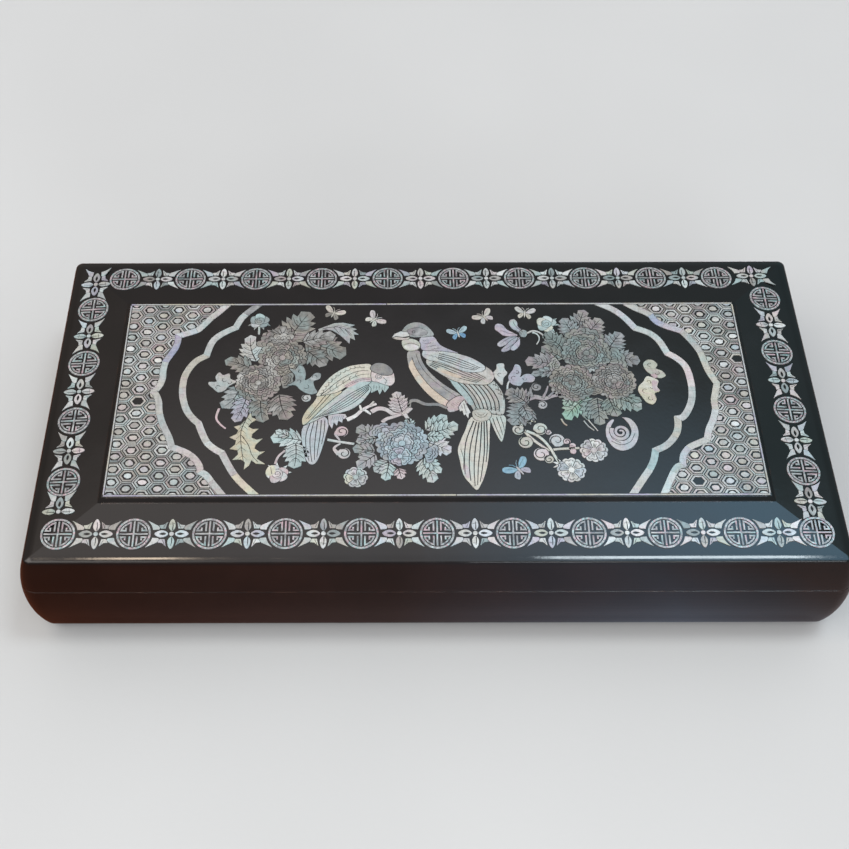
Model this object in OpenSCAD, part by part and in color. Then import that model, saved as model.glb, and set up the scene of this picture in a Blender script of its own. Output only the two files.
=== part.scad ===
// Lacquered wooden box with a hinged lid, inlaid with mother-of-pearl.
// The origin is at the centre of the underside, +X along the length, +Y to the hinges, +Z up.
// Millimetres and degrees throughout.

/* [Box] */
// Length across the top edge
box_w = 300; // [260:1:360]
// Depth across the top edge
box_d = 147; // [134:1:180]
// Height from the underside to the raised panel
box_h = 52.5; // [48:0.5:80]
// How far the sides swell out beyond the top edge
side_bulge = 4.5; // [1.5:0.5:6]
// Height of the widest line of the sides
widest_z = 26; // [22:1:34]
// Radius of the rounded lower edge
foot_r = 7; // [4:0.5:9]
// Radius of the upright corners, seen from above
corner_r = 2.5; // [1:0.5:5]
// Radius of the top edge
crease_r = 1; // [0.5:0.1:1.5]

/* [Boards] */
// Thickness of the side boards of the base, from the top edge line inwards
wall_t = 8; // [6:0.5:12]
// Height of the base's rim
base_h = 34.5; // [28:0.5:40]
// Thickness of the bottom board
floor_t = 5; // [3:0.5:8]
// Gap between the rim and the closed lid
seam_gap = 0.3; // [0.2:0.1:0.8]
// Thickness of the lid's top board under the raised panel
lid_board_t = 7; // [6:0.5:10]

/* [Lid top] */
// Width of the sloping border round the raised panel
border_w = 26; // [24:1:32]
// Fall of the border towards the edge
border_fall = 3.8; // [2:0.2:5]
// How far the panel stands above the border
panel_rise = 1.5; // [0.8:0.1:2.5]
// Width of the bevel round the raised panel
panel_bevel = 1.5; // [0.8:0.1:2.5]

/* [Lining] */
// Thickness of the cloth-covered lining boards
liner_t = 2.2; // [1.5:0.1:4]
// How far the lining boards stand above the rim, inside the lid
lip_h = 3; // [2:0.5:5]
// Room between the lining boards and the lid's side boards
lip_play = 0.5; // [0.3:0.1:1]
// Thickness of the pad on the bottom board
floor_pad_t = 3; // [2:0.5:6]
// Thickness of the pad inside the lid
lid_pad_t = 1.6; // [1:0.2:3]
// Clear space round each soft pad
pad_play = 0.3; // [0.2:0.1:1]

/* [Hinges] */
// Distance of each hinge from the middle of the box
hinge_x = 92; // [70:1:100]
// Length of a hinge
hinge_l = 24; // [18:1:30]
// Depth that a hinge leaf is let into the board
leaf_in = 7; // [5:0.5:8]
// Thickness of a hinge leaf
leaf_t = 1; // [0.8:0.1:1.5]
// Radius of the hinge knuckles
knuckle_r = 1.7; // [1.4:0.1:2.5]
// Radius of the hinge pin
pin_r = 0.8; // [0.6:0.1:1]
// Running clearance round the hinge pin
pin_play = 0.05; // [0.03:0.01:0.1]
// Clearance between the knuckles and what turns past them
knuckle_play = 0.35; // [0.3:0.05:0.6]
// Radius of a screw's shank
screw_r = 0.8; // [0.6:0.1:1]
// Radius of a screw's head
screw_head_r = 1.5; // [1.2:0.1:2]
// Length of a screw under its head
screw_l = 6; // [4:0.5:8]

/* [Inlay] */
// Thickness of the shell that stands above the lacquer
shell_t = 0.3; // [0.2:0.05:0.5]
// Gap between neighbouring pieces of shell
shell_gap = 0.3; // [0.2:0.05:0.5]
// Width of the thin line round the panel
line_w = 0.5; // [0.4:0.1:1]
// Distance from the panel's edge to the thin line
line_inset = 0.4; // [0.2:0.1:1]
// Width of the scalloped bands
band_w = 2.7; // [2:0.1:3.5]
// Spacing of the tortoise-shell cells along the box
cell_x = 5.85; // [5:0.05:7]
// Spacing of the tortoise-shell cells across the box
cell_y = 5.85; // [5:0.05:7]
// Radius of a border roundel
roundel_r = 6.3; // [5:0.1:6.6]
// Desired spacing of the border roundels
roundel_pitch = 27.8; // [26:0.1:32]
// Distance of the border roundels from the top edge line
roundel_in = 11.6; // [10:0.1:13]

/* [Hidden] */
$fn = 48;
EPS = 0.01;
LACQUER = "#1b1412";
VELVET = "#5a1220";
BRASS = "#c9a24a";
SILVER_SHELL = "#c9ccc8";
CREAM_SHELL = "#d8cfb4";
AQUA_SHELL = "#a9cfc9";
PINK_SHELL = "#cfb9bd";

// The section of a side: the bulge, the rounded foot and the rounded top edge
border_flat = border_w - panel_bevel;
crease_z = box_h - panel_rise - border_flat * tan(border_fall);
bulge_r = (pow(crease_z - widest_z, 2) + pow(side_bulge, 2)) / (2 * side_bulge);
bulge_c = [side_bulge - bulge_r, widest_z];
foot_c = [bulge_c.x + sqrt(pow(bulge_r - foot_r, 2) - pow(widest_z - foot_r, 2)), foot_r];
foot_a = atan2(foot_c.y - bulge_c.y, foot_c.x - bulge_c.x);
slope_in = [-cos(border_fall), sin(border_fall)];
slope_up = [sin(border_fall), cos(border_fall)];
crease_from = [0, crease_z] - crease_r * slope_up - bulge_c;
crease_shift = -crease_from * slope_in
    - sqrt(pow(crease_from * slope_in, 2) - crease_from * crease_from + pow(bulge_r - crease_r, 2));
crease_c = bulge_c + crease_from + crease_shift * slope_in;
crease_a = atan2(crease_c.y - bulge_c.y, crease_c.x - bulge_c.x);

function bulge_at(z) = bulge_c.x + sqrt(pow(bulge_r, 2) - pow(z - widest_z, 2));

// Heights and faces that several pieces share
lid_z = base_h + seam_gap;
lid_board_z = box_h - lid_board_t;
lid_wall_t = wall_t - lip_play;
swell = side_bulge + 1;
inside_w = box_w - 2 * wall_t;
inside_d = box_d - 2 * wall_t;
panel_w = box_w - 2 * border_w;
panel_d = box_d - 2 * border_w;

// The hinge line
back_y = box_d / 2 + bulge_at(base_h);
hinge_y = back_y + knuckle_play + knuckle_r;
hinge_z = base_h + seam_gap / 2;
leaf_y = back_y - leaf_in;
middle_l = hinge_l / 3;
screw_head_h = 0.6;
screw_hole_play = 0.1;
screw_off = hinge_l * 0.3;
screw_y = back_y - leaf_in * 0.55;
pin_head_r = knuckle_r * 0.8;
pin_head_l = 0.5;

// ---------------------------------------------------------------- curves

function unit(v) = v / norm(v);

function unit_at(a) = [cos(a), sin(a)];

function arc_points(c, r, a0, a1, n) = [for (i = [0:n]) c + r * unit_at(a0 + (a1 - a0) * i / n)];

function left_of(v) = [-v.y, v.x];

function heading(p, i) = unit(p[min(i + 1, len(p) - 1)] - p[max(i - 1, 0)]);

// A line of points moved sideways, to its left
function beside(p, d) = [for (i = [0:len(p) - 1]) p[i] + d * left_of(heading(p, i))];

function reversed(p) = [for (i = [len(p) - 1:-1:0]) p[i]];

// The outline of a strip of width w along a line of points
function ribbon(p, w) = concat(beside(p, w / 2), reversed(beside(p, -w / 2)));

// The outline of a strip that narrows from w0 to w1
function taper_ribbon(p, w0, w1) =
    let (n = len(p) - 1, w = [for (i = [0:n]) (w0 + (w1 - w0) * i / n) / 2])
    concat(
        [for (i = [0:n]) p[i] + w[i] * left_of(heading(p, i))],
        [for (i = [n:-1:0]) p[i] - w[i] * left_of(heading(p, i))]);

// A quadratic curve from a to b that bows to its left by the given rise
function bowed(a, b, bow, n = 10) =
    let (c = (a + b) / 2 + 2 * bow * left_of(unit(b - a)))
    [for (i = [0:n]) let (t = i / n) (1 - t) * (1 - t) * a + 2 * t * (1 - t) * c + t * t * b];

// The point the fraction t of the way from b to c, on the smooth curve through a, b, c and d
function eased(a, b, c, d, t) =
    b + (t * (c - a) + pow(t, 2) * (2 * a - 5 * b + 4 * c - d) + pow(t, 3) * (3 * b - a - 3 * c + d)) / 2;

// A smooth closed outline through a few points
function smooth(p, n = 3) =
    let (m = len(p))
    [for (i = [0:m - 1], k = [0:n - 1])
        eased(p[(i + m - 1) % m], p[i], p[(i + 1) % m], p[(i + 2) % m], k / n)];

// A smooth open line through a few points
function smooth_line(p, n = 3) =
    let (m = len(p) - 1)
    concat(
        [for (i = [0:m - 1], k = [0:n - 1]) eased(p[max(i - 1, 0)], p[i], p[i + 1], p[min(i + 2, m)], k / n)],
        [p[m]]);

// The line that lies the fraction f of the way from line a to line b
function between(a, b, f) = [for (i = [0:len(a) - 1]) a[i] + f * (b[i] - a[i])];

function spiral(r0, r1, a0, turns, n) =
    [for (i = [0:n]) let (t = i / n) (r0 + (r1 - r0) * t) * unit_at(a0 + 360 * turns * t)];

// ---------------------------------------------------------------- carcass

// Half of the section of a side: x is measured outwards from the top edge line, y is the height
module side_section() {
    polygon(concat(
        [[-border_w, 0]],
        arc_points(foot_c, foot_r, -90, foot_a, 8),
        arc_points(bulge_c, bulge_r, foot_a, crease_a, 18),
        arc_points(crease_c, crease_r, crease_a, 90 - border_fall, 5),
        [[-border_flat, box_h - panel_rise], [-border_w, box_h]]));
}

// The part of the section between two heights, and no deeper than a board
module board_section(z0, z1, depth) {
    intersection() {
        side_section();
        translate([-depth, z0]) square([depth + swell, z1 - z0]);
    }
}

// A section swept along one side, mitred at both ends and carried round the corners
module side_run(turn, depth) {
    run = turn % 180 == 0 ? box_w : box_d;
    off = turn % 180 == 0 ? box_d / 2 : box_w / 2;
    straight = run / 2 - corner_r;
    mitred = straight - (depth - corner_r);
    rotate([0, 0, turn])
        translate([0, -off, 0]) {
            intersection() {
                rotate([90, 0, -90]) linear_extrude(2 * straight, center = true) children();
                translate([0, 0, -1])
                    linear_extrude(box_h + 2)
                        polygon([[-straight, -swell], [straight, -swell], [straight, corner_r],
                            [mitred, depth], [-mitred, depth], [-straight, corner_r]]);
            }
            for (end = [-1, 1])
                translate([end * straight, corner_r, 0])
                    rotate([0, 0, end < 0 ? -135 : -90])
                        rotate_extrude(angle = 45)
                            intersection() {
                                translate([corner_r, 0]) children();
                                square([corner_r + swell, box_h]);
                            }
        }
}

module base_board(turn) {
    side_run(turn, wall_t) board_section(0, base_h, wall_t);
}

module lid_board(turn) {
    side_run(turn, lid_wall_t) board_section(lid_z, lid_board_z, lid_wall_t);
}

module base_front() color(LACQUER) base_board(0);

module base_right() color(LACQUER) base_board(90);

module base_left() color(LACQUER) base_board(-90);

module base_back() {
    color(LACQUER)
        difference() {
            base_board(180);
            for (side = [-1, 1])
                translate([side * hinge_x, 0, 0]) {
                    leaf_recess(base_h - leaf_t, base_h + 1);
                    screw_holes(base_h - screw_head_h - screw_l - 1, base_h + 1);
                }
        }
}

module base_floor() {
    color(LACQUER) translate([-inside_w / 2, -inside_d / 2, 0]) cube([inside_w, inside_d, floor_t]);
}

module lid_front() color(LACQUER) lid_board(0);

module lid_right() color(LACQUER) lid_board(90);

module lid_left() color(LACQUER) lid_board(-90);

module lid_back() {
    color(LACQUER)
        difference() {
            lid_board(180);
            for (side = [-1, 1])
                translate([side * hinge_x, 0, 0]) {
                    leaf_recess(lid_z - 1, lid_z + leaf_t);
                    screw_holes(lid_z - 1, lid_z + screw_head_h + screw_l + 1);
                }
        }
}

// The top board: four sloping borders, mitred at the corners, round the raised panel
module lid_top() {
    color(LACQUER) {
        for (turn = [0:90:270])
            side_run(turn, border_w) board_section(lid_board_z, box_h, border_w);
        translate([-panel_w / 2, -panel_d / 2, lid_board_z]) cube([panel_w, panel_d, lid_board_t]);
    }
}

// ---------------------------------------------------------------- lining

// The long lining boards run the whole length, and the short ones stand between them
module long_liner(side) {
    color(VELVET)
        translate([-inside_w / 2, side * (inside_d - liner_t) / 2 - liner_t / 2, floor_t])
            cube([inside_w, liner_t, base_h + lip_h - floor_t]);
}

module short_liner(side) {
    color(VELVET)
        translate([side * (inside_w - liner_t) / 2 - liner_t / 2, liner_t - inside_d / 2, floor_t])
            cube([liner_t, inside_d - 2 * liner_t, base_h + lip_h - floor_t]);
}

module liner_front() long_liner(-1);

module liner_back() long_liner(1);

module liner_left() short_liner(-1);

module liner_right() short_liner(1);

module soft_pad(w, d, t, z) {
    color(VELVET) translate([-w / 2, -d / 2, z]) cube([w, d, t]);
}

module floor_pad() {
    soft_pad(inside_w - 2 * (liner_t + pad_play), inside_d - 2 * (liner_t + pad_play), floor_pad_t,
        floor_t + pad_play);
}

module lid_pad() {
    soft_pad(box_w - 2 * (lid_wall_t + pad_play), box_d - 2 * (lid_wall_t + pad_play), lid_pad_t,
        lid_board_z - pad_play - lid_pad_t);
}

// ---------------------------------------------------------------- hinges

module leaf_recess(z0, z1) {
    translate([-hinge_l / 2, leaf_y, z0]) cube([hinge_l, leaf_in + swell, z1 - z0]);
}

module screw_holes(z0, z1) {
    for (side = [-1, 1])
        translate([side * screw_off, screw_y, z0]) cylinder(r = screw_r + screw_hole_play, h = z1 - z0);
}

// One leaf with its knuckles; spans are the stretches of the pin that its knuckles take
module hinge_leaf(z0, head_z, spans) {
    plate_d = hinge_y - knuckle_r - knuckle_play - leaf_y;
    color(BRASS)
        difference() {
            union() {
                translate([-hinge_l / 2, leaf_y, z0]) cube([hinge_l, plate_d, leaf_t]);
                for (s = spans) {
                    translate([s[0], leaf_y + plate_d - EPS, z0])
                        cube([s[1] - s[0], hinge_y - leaf_y - plate_d + EPS, leaf_t]);
                    translate([s[0], hinge_y, hinge_z])
                        rotate([0, 90, 0]) cylinder(r = knuckle_r, h = s[1] - s[0]);
                }
            }
            translate([-hinge_l / 2 - 1, hinge_y, hinge_z])
                rotate([0, 90, 0]) cylinder(r = pin_r + pin_play, h = hinge_l + 2);
            screw_holes(z0 - 1, z0 + leaf_t + 1);
            for (side = [-1, 1])
                translate([side * screw_off, screw_y, head_z])
                    cylinder(r = screw_head_r + screw_hole_play, h = screw_head_h);
        }
}

module base_leaf(side) {
    translate([side * hinge_x, 0, 0])
        hinge_leaf(base_h - leaf_t, base_h - screw_head_h,
            [[-hinge_l / 2, -middle_l / 2], [middle_l / 2, hinge_l / 2]]);
}

module lid_leaf(side) {
    half = middle_l / 2 - pad_play;
    translate([side * hinge_x, 0, 0]) hinge_leaf(lid_z, lid_z, [[-half, half]]);
}

module hinge_pin(side) {
    color(BRASS)
        translate([side * hinge_x, hinge_y, hinge_z])
            rotate([0, 90, 0]) {
                cylinder(r = pin_r, h = hinge_l, center = true);
                for (end = [-1, 1])
                    translate([0, 0, end * (hinge_l + pin_head_l) / 2])
                        cylinder(r = pin_head_r, h = pin_head_l, center = true);
            }
}

// Four screws whose heads face the seam; up is 1 where the shanks point down
module hinge_screws(seat_z, up) {
    color(BRASS)
        for (side = [-1, 1], end = [-1, 1])
            translate([side * hinge_x + end * screw_off, screw_y, seat_z])
                rotate([up > 0 ? 0 : 180, 0, 0]) {
                    cylinder(r = screw_head_r, h = screw_head_h);
                    translate([0, 0, -screw_l]) cylinder(r = screw_r, h = screw_l);
                }
}

module hinge_base_leaf_left() base_leaf(-1);

module hinge_base_leaf_right() base_leaf(1);

module hinge_lid_leaf_left() lid_leaf(-1);

module hinge_lid_leaf_right() lid_leaf(1);

module hinge_pin_left() hinge_pin(-1);

module hinge_pin_right() hinge_pin(1);

module hinge_base_screws() hinge_screws(base_h - screw_head_h, 1);

module hinge_lid_screws() hinge_screws(lid_z + screw_head_h, -1);

// ---------------------------------------------------------------- inlay on the panel

// Flat pieces of shell laid on the raised panel
module on_panel(c) {
    color(c) translate([0, 0, box_h]) linear_extrude(shell_t) children();
}

line_x = panel_w / 2 - line_inset - line_w / 2;
line_y = panel_d / 2 - line_inset - line_w / 2;
field_x = line_x - line_w / 2 - shell_gap;
field_y = line_y - line_w / 2 - shell_gap;

module strip(a, b, w) {
    polygon(ribbon([a, b], w));
}

// The thin line round the panel: the long sides are each two strips, butted off centre
module panel_line() {
    joint_back = -0.15 * line_x;
    joint_front = 0.06 * line_x;
    corner = line_w / 2 + shell_gap;
    on_panel(SILVER_SHELL) {
        for (row = [[line_y, joint_back], [-line_y, joint_front]]) {
            strip([-line_x, row[0]], [row[1] - shell_gap / 2, row[0]], line_w);
            strip([row[1] + shell_gap / 2, row[0]], [line_x, row[0]], line_w);
        }
        for (side = [-1, 1])
            strip([side * line_x, -line_y + corner], [side * line_x, line_y - corner], line_w);
    }
}

// Where the scalloped bands turn, from back to front, with the rise of each stretch between.
// Lengths across the box follow the panel's depth, and lengths along it are taken from its ends.
outer_left_turns = [
    [-82.5, 46.4], [-91, 39.5], [-103.2, 30.6], [-111, 1], [-100, -24.7], [-88.5, -34.7], [-79, -46.4]];
outer_right_turns = [
    [79.5, 46.4], [89.5, 40], [101.5, 31.6], [112.5, 4.3], [104, -23.7], [92, -34.4], [83.5, -46.4]];
outer_rise = [0.4, -2.4, -1, -0.9, -1.9, -0.4];
inner_left_turns = [[-71, 46.4], [-80, 33.8], [-91, 19.8], [-91, -13], [-80, -27], [-67.5, -46.4]];
inner_right_turns = [[67.5, 46.4], [82.5, 33.4], [93.5, 20], [94, -13], [83.5, -27.5], [72.5, -46.4]];
inner_rise = [1.6, 2.9, 7.6, 2.2, 2.2];

// The turns are drawn for this panel, and move with its sides when it changes size
DRAWN_PANEL = [248, 95];

function fitted(p) = [p.x + sign(p.x) * (panel_w - DRAWN_PANEL.x) / 2, p.y * panel_d / DRAWN_PANEL.y];

function band_line(turns, rise, side) =
    [for (i = [0:len(rise) - 1]) bowed(fitted(turns[i]), fitted(turns[i + 1]), side * rise[i], 6)];

// The sideways direction at a corner between two headings, lengthened so that it mitres
function mitre(a, b) = let (m = unit(left_of(a) + left_of(b))) m / (m * left_of(a));

// One stretch of a band moved sideways by d, mitred to its neighbours and drawn back at both ends
function band_side(lines, i, d, gap) =
    let (l = lines[i], n = len(l) - 1, from = heading(l, 0), to = heading(l, n),
        start = i == 0 ? left_of(from) : mitre(heading(lines[i - 1], n), from),
        stop = i == len(lines) - 1 ? left_of(to) : mitre(to, heading(lines[i + 1], 0)))
    concat([l[0] + d * start + gap * from],
        [for (k = [1:n - 1]) l[k] + d * left_of(heading(l, k))],
        [l[n] + d * stop - gap * to]);

module field(margin = 0) {
    square([2 * (field_x + margin), 2 * (field_y + margin)], center = true);
}

// Each stretch is its own piece of shell, with a fine gap where two meet
module scalloped_band(turns, rise, side, c) {
    lines = band_line(turns, rise, side);
    on_panel(c)
        intersection() {
            field();
            union()
                for (i = [0:len(lines) - 1])
                    polygon(concat(band_side(lines, i, band_w / 2, shell_gap / 2),
                        reversed(band_side(lines, i, -band_w / 2, shell_gap / 2))));
        }
}

module outer_band_left() scalloped_band(outer_left_turns, outer_rise, -1, SILVER_SHELL);

module outer_band_right() scalloped_band(outer_right_turns, outer_rise, 1, SILVER_SHELL);

module inner_band_left() scalloped_band(inner_left_turns, inner_rise, -1, SILVER_SHELL);

module inner_band_right() scalloped_band(inner_right_turns, inner_rise, 1, SILVER_SHELL);

// ---------------------------------------------------------------- tortoise-shell mosaic

// A six-sided cell, flat at the back and front, that lies the distance d inside the cell's edge
function cell_outline(d) =
    let (h = cell_y / 2 - d, flat = cell_x * 0.33, point = cell_x - flat, s = h / (cell_y / 2))
    [[point * s, 0], [flat * s, h], [-flat * s, h], [-point * s, 0], [-flat * s, -h], [flat * s, -h]];

// The net's strands, the ring and the heart of a cell, as distances in from its edge
net_half_w = 0.18;
ring_out = 0.5;
ring_in = 1.05;
heart_out = 1.5;

// The panel's edge cuts through the first column of cells, this far outside its middle
FIRST_COLUMN = 0.35;

module cells(side) {
    columns = ceil(panel_w / 4 / cell_x);
    rows = ceil(panel_d / 2 / cell_y);
    for (i = [0:columns], j = [-rows:rows])
        translate([side * (field_x - (i + FIRST_COLUMN) * cell_x), (j + (i % 2 == 0 ? 0 : 0.5)) * cell_y])
            children();
}

// The ground outside the outer band
module mosaic_ground(turns, rise, side, margin) {
    lines = band_line(turns, rise, side);
    off = side * (band_w / 2 + shell_gap + margin);
    edge = concat([lines[0][0] + [off, 0]],
        [for (i = [0:len(lines) - 1]) let (s = band_side(lines, i, off, 0)) for (k = [1:len(s) - 1]) s[k]]);
    intersection() {
        field(-margin);
        polygon(concat(edge, [[side * panel_w, -panel_d], [side * panel_w, panel_d]]));
    }
}

module mosaic(turns, rise, side) {
    on_panel(CREAM_SHELL) {
        difference() {
            mosaic_ground(turns, rise, side, 0);
            cells(side) polygon(cell_outline(net_half_w));
        }
        intersection() {
            mosaic_ground(turns, rise, side, 0.1);
            union() {
                cells(side) polygon(concat(cell_outline(ring_out), cell_outline(ring_in)),
                    [[0, 1, 2, 3, 4, 5], [6, 7, 8, 9, 10, 11]]);
                cells(side) polygon(cell_outline(heart_out));
            }
        }
    }
}

module mosaic_left() mosaic(outer_left_turns, outer_rise, -1);

module mosaic_right() mosaic(outer_right_turns, outer_rise, 1);

// ---------------------------------------------------------------- border

// Seats flat pieces on the sloping border: x runs along the side, y inwards
module on_border(turn, x, inward) {
    off = turn % 180 == 0 ? box_d / 2 : box_w / 2;
    rotate([0, 0, turn])
        translate([x, inward - off, crease_z + inward * tan(border_fall)])
            rotate([border_fall, 0, 0]) children();
}

fret_w = 0.6;
fret_gap = 0.75;
fret_out = roundel_r - 1.15;
fret_in = fret_out - fret_w;
hook_x = 0.52 * fret_out;
hook_top = 0.5 * fret_out;

// One quarter of the fret: a bar beside the middle, round under the ring and back in a hook
module fret_hook() {
    near = fret_w / 2 + fret_gap;
    far = near + fret_w;
    polygon(concat(
        [[near, near]],
        arc_points([0, 0], fret_out, acos(near / fret_out), asin(near / fret_out), 4),
        [[hook_x, near], [hook_x, hook_top], [hook_x + fret_w, hook_top], [hook_x + fret_w, far]],
        arc_points([0, 0], fret_in, asin(far / fret_in), acos(far / fret_in), 4),
        [[far, near]]));
}

module roundel() {
    difference() {
        circle(r = roundel_r);
        circle(r = roundel_r - 0.75);
    }
    reach = fret_out;
    half = fret_w / 2;
    polygon([[half, half], [reach, half], [reach, -half], [half, -half], [half, -reach], [-half, -reach],
        [-half, -half], [-reach, -half], [-reach, half], [-half, half], [-half, reach], [half, reach]]);
    for (x = [0, 1], y = [0, 1]) mirror([x, 0]) mirror([0, y]) fret_hook();
}

petal_l = 6.2;
long_petal_w = 2.6;
short_petal_w = 2.9;
blossom_eye_r = 0.45;
petal_root = blossom_eye_r + 0.3;

// A pointed oval that runs from the origin along x
module pointed_oval(l, w) {
    r = (l * l + w * w) / (4 * w);
    intersection() {
        translate([l / 2, r - w / 2]) circle(r = r);
        translate([l / 2, w / 2 - r]) circle(r = r);
    }
}

// A petal with a slit near its root
module slit_petal(l, w) {
    difference() {
        translate([petal_root, 0]) pointed_oval(l - petal_root, w);
        translate([l * 0.26, 0]) pointed_oval(l * 0.34, w * 0.26);
    }
}

horn_play = 0.95;
HORN_TIP_A = 131;
SHORT_TIP_A = 147;
HORN_ROOT_A = 167;
HORN_POINT = [1.6, 5];
HORN_HOLLOW = [4.9, 3.2];

// A leaf with two points that hugs the roundel beside the blossom
module horn(tip_a = HORN_TIP_A) {
    hub = [roundel_pitch / 2, 0];
    r = roundel_r + horn_play;
    tip = hub + r * unit_at(tip_a);
    polygon(concat(
        arc_points(hub, r, tip_a, HORN_ROOT_A, 3),
        [[4.6, 1.7], [2.2, 2.1]],
        bowed(HORN_POINT, HORN_HOLLOW, -0.6, 2),
        bowed(HORN_HOLLOW, tip, 0.5, 2)));
}

// Four petals and four horns. A side is 1 for +x or -1 for -x: a blossom by a corner can lack
// what stands on one side, or have short horns there.
module blossom(cut = 0, short = 0) {
    for (side = [-1, 1])
        if (side != cut) {
            rotate([0, 0, side > 0 ? 0 : 180]) slit_petal(petal_l, long_petal_w);
            for (across = [0, 1])
                mirror([side > 0 ? 0 : 1, 0])
                    mirror([0, across]) horn(side == short ? SHORT_TIP_A : HORN_TIP_A);
        }
    circle(r = blossom_eye_r);
    for (turn = [90, 270]) rotate([0, 0, turn]) slit_petal(petal_l - 0.2, short_petal_w);
}

// Where the roundels stand: the front row reaches both corners, and the others stop short of them
back_row_in = 10.2;
left_row_in = roundel_in - 1.2;
front_half = box_w / 2 - roundel_in;
front_steps = round(2 * front_half / roundel_pitch);
front_step = 2 * front_half / front_steps;
BACK_ENDS = [21.5, 30];
LEFT_ENDS = [27, 34.5];
RIGHT_ENDS = [22, 38.5];
back_from = BACK_ENDS[0] - box_w / 2;
back_to = box_w / 2 - BACK_ENDS[1];
back_steps = round((back_to - back_from) / roundel_pitch);
back_step = (back_to - back_from) / back_steps;
left_from = box_d / 2 - LEFT_ENDS[0];
left_to = LEFT_ENDS[1] - box_d / 2;
left_steps = round((left_from - left_to) / roundel_pitch);
left_step = (left_from - left_to) / left_steps;
right_from = box_d / 2 - RIGHT_ENDS[0];
right_to = RIGHT_ENDS[1] - box_d / 2;
right_steps = round((right_from - right_to) / roundel_pitch);
right_step = (right_from - right_to) / right_steps;

// How far a corner blossom stands from the last roundel, in steps of its row
BACK_CORNER = 0.54;
LEFT_CORNER = 0.49;
LEFT_END = 0.46;
RIGHT_END = 0.47;

module border_shell(turn, x, inward, c) {
    color(c) on_border(turn, x, inward) linear_extrude(shell_t) children();
}

module roundels_front() {
    for (i = [0:front_steps])
        border_shell(0, i * front_step - front_half, roundel_in, SILVER_SHELL) roundel();
}

module roundels_back() {
    for (i = [0:back_steps])
        border_shell(180, -back_from - i * back_step, back_row_in, SILVER_SHELL) roundel();
}

module roundels_left() {
    for (i = [0:left_steps])
        border_shell(-90, -(left_from - i * left_step), left_row_in, SILVER_SHELL) roundel();
}

module roundels_right() {
    for (i = [0:right_steps])
        border_shell(90, right_from - i * right_step, roundel_in, SILVER_SHELL) roundel();
}

module blossoms_front() {
    for (i = [0.5:front_steps])
        border_shell(0, i * front_step - front_half, roundel_in, AQUA_SHELL) blossom();
}

// The last blossom of the back row stands in the right-hand corner
module blossoms_back() {
    for (i = [0.5:back_steps])
        border_shell(180, -back_from - i * back_step, back_row_in, PINK_SHELL) blossom();
    border_shell(180, -back_to - back_step * BACK_CORNER, back_row_in - 1, PINK_SHELL) blossom();
}

// The first blossom of the left-hand row stands in the corner, and the last is cut short
module blossoms_left() {
    border_shell(-90, -(left_from + left_step * LEFT_CORNER), left_row_in - 0.8, PINK_SHELL) blossom();
    for (i = [0.5:left_steps])
        border_shell(-90, -(left_from - i * left_step), left_row_in, PINK_SHELL) blossom();
    border_shell(-90, -(left_to - left_step * LEFT_END), left_row_in, PINK_SHELL) blossom(1);
}

module blossoms_right() {
    for (i = [0.5:right_steps])
        border_shell(90, right_from - i * right_step, roundel_in, AQUA_SHELL) blossom();
    border_shell(90, right_to - right_step * RIGHT_END, roundel_in, AQUA_SHELL) blossom(short = -1);
}

// ---------------------------------------------------------------- birds and flowers

// The picture fills the field between the inner bands, and grows or shrinks as a whole with it
FIELD_REACH = 91;
picture_k = min(1 + (panel_w - DRAWN_PANEL.x) / (2 * FIELD_REACH), panel_d / DRAWN_PANEL.y);

module picture(c) {
    on_panel(c) scale([picture_k, picture_k, 1]) children();
}

module at(place, turn = 0) {
    translate(place) rotate([0, 0, turn]) children();
}

// Feathers side by side between two lines that run from root to tip
module feathers(a, b, count, tip = 1.2) {
    n = len(a) - 1;
    cut = sign(left_of(heading(a, 1)) * (b[1] - a[1])) * shell_gap / 2;
    for (i = [0:count - 1]) {
        first = beside(between(a, b, i / count), cut);
        last = beside(between(a, b, (i + 1) / count), -cut);
        middle = between(a, b, (i + 0.5) / count);
        polygon(concat(reversed(first), last, [middle[n] + tip * heading(middle, n)]));
    }
}

// A toothed leaf in two halves, with the rib left open between them
module leaf(l, w, teeth = 5, rib = 0.3) {
    for (side = [-1, 1])
        polygon(concat([[0, side * rib / 2]],
            [for (i = [1:teeth], k = [0, 1])
                let (t = i / (teeth + 0.8), h = w / 2 * sin(180 * pow(t, 0.75)))
                [l * (t - 0.012 * k), side * (rib / 2 + h * (1 - 0.24 * k))]],
            [[l, side * rib / 2]]));
}

// One petal of a round flower, between two radii, with a notched rim
module lobe(r0, r1, half, points = 3) {
    gap_a = shell_gap / 2 / r1 * 180 / PI;
    n = 2 * points;
    polygon(concat(
        [for (i = [0:n]) (i % 2 == 0 ? 0.92 : 1) * r1 * unit_at((half - gap_a) * (2 * i / n - 1))],
        [for (side = [1, -1]) r0 * unit_at(side * (half - 1.6 * gap_a))]));
}

// A round many-petalled flower; rows are [inner radius, outer radius, petals] as parts of r
PEONY_ROWS = [[0.2, 0.44, 5], [0.49, 0.72, 7], [0.76, 1, 9]];

module peony(r) {
    circle(r = r * 0.16);
    for (row = PEONY_ROWS, i = [0:row[2] - 1])
        rotate([0, 0, (i + row[0]) * 360 / row[2]]) lobe(r * row[0], r * row[1], 180 / row[2]);
}

module bud(r, petals = 5) {
    circle(r = r * 0.3);
    for (i = [0:petals - 1]) rotate([0, 0, i * 360 / petals]) lobe(r * 0.42, r, 180 / petals, 2);
}

module curl(r, turns, w, start = 0) {
    polygon(taper_ribbon(spiral(r, r * 0.25, start, turns, 12), w, w * 0.5));
}

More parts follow.
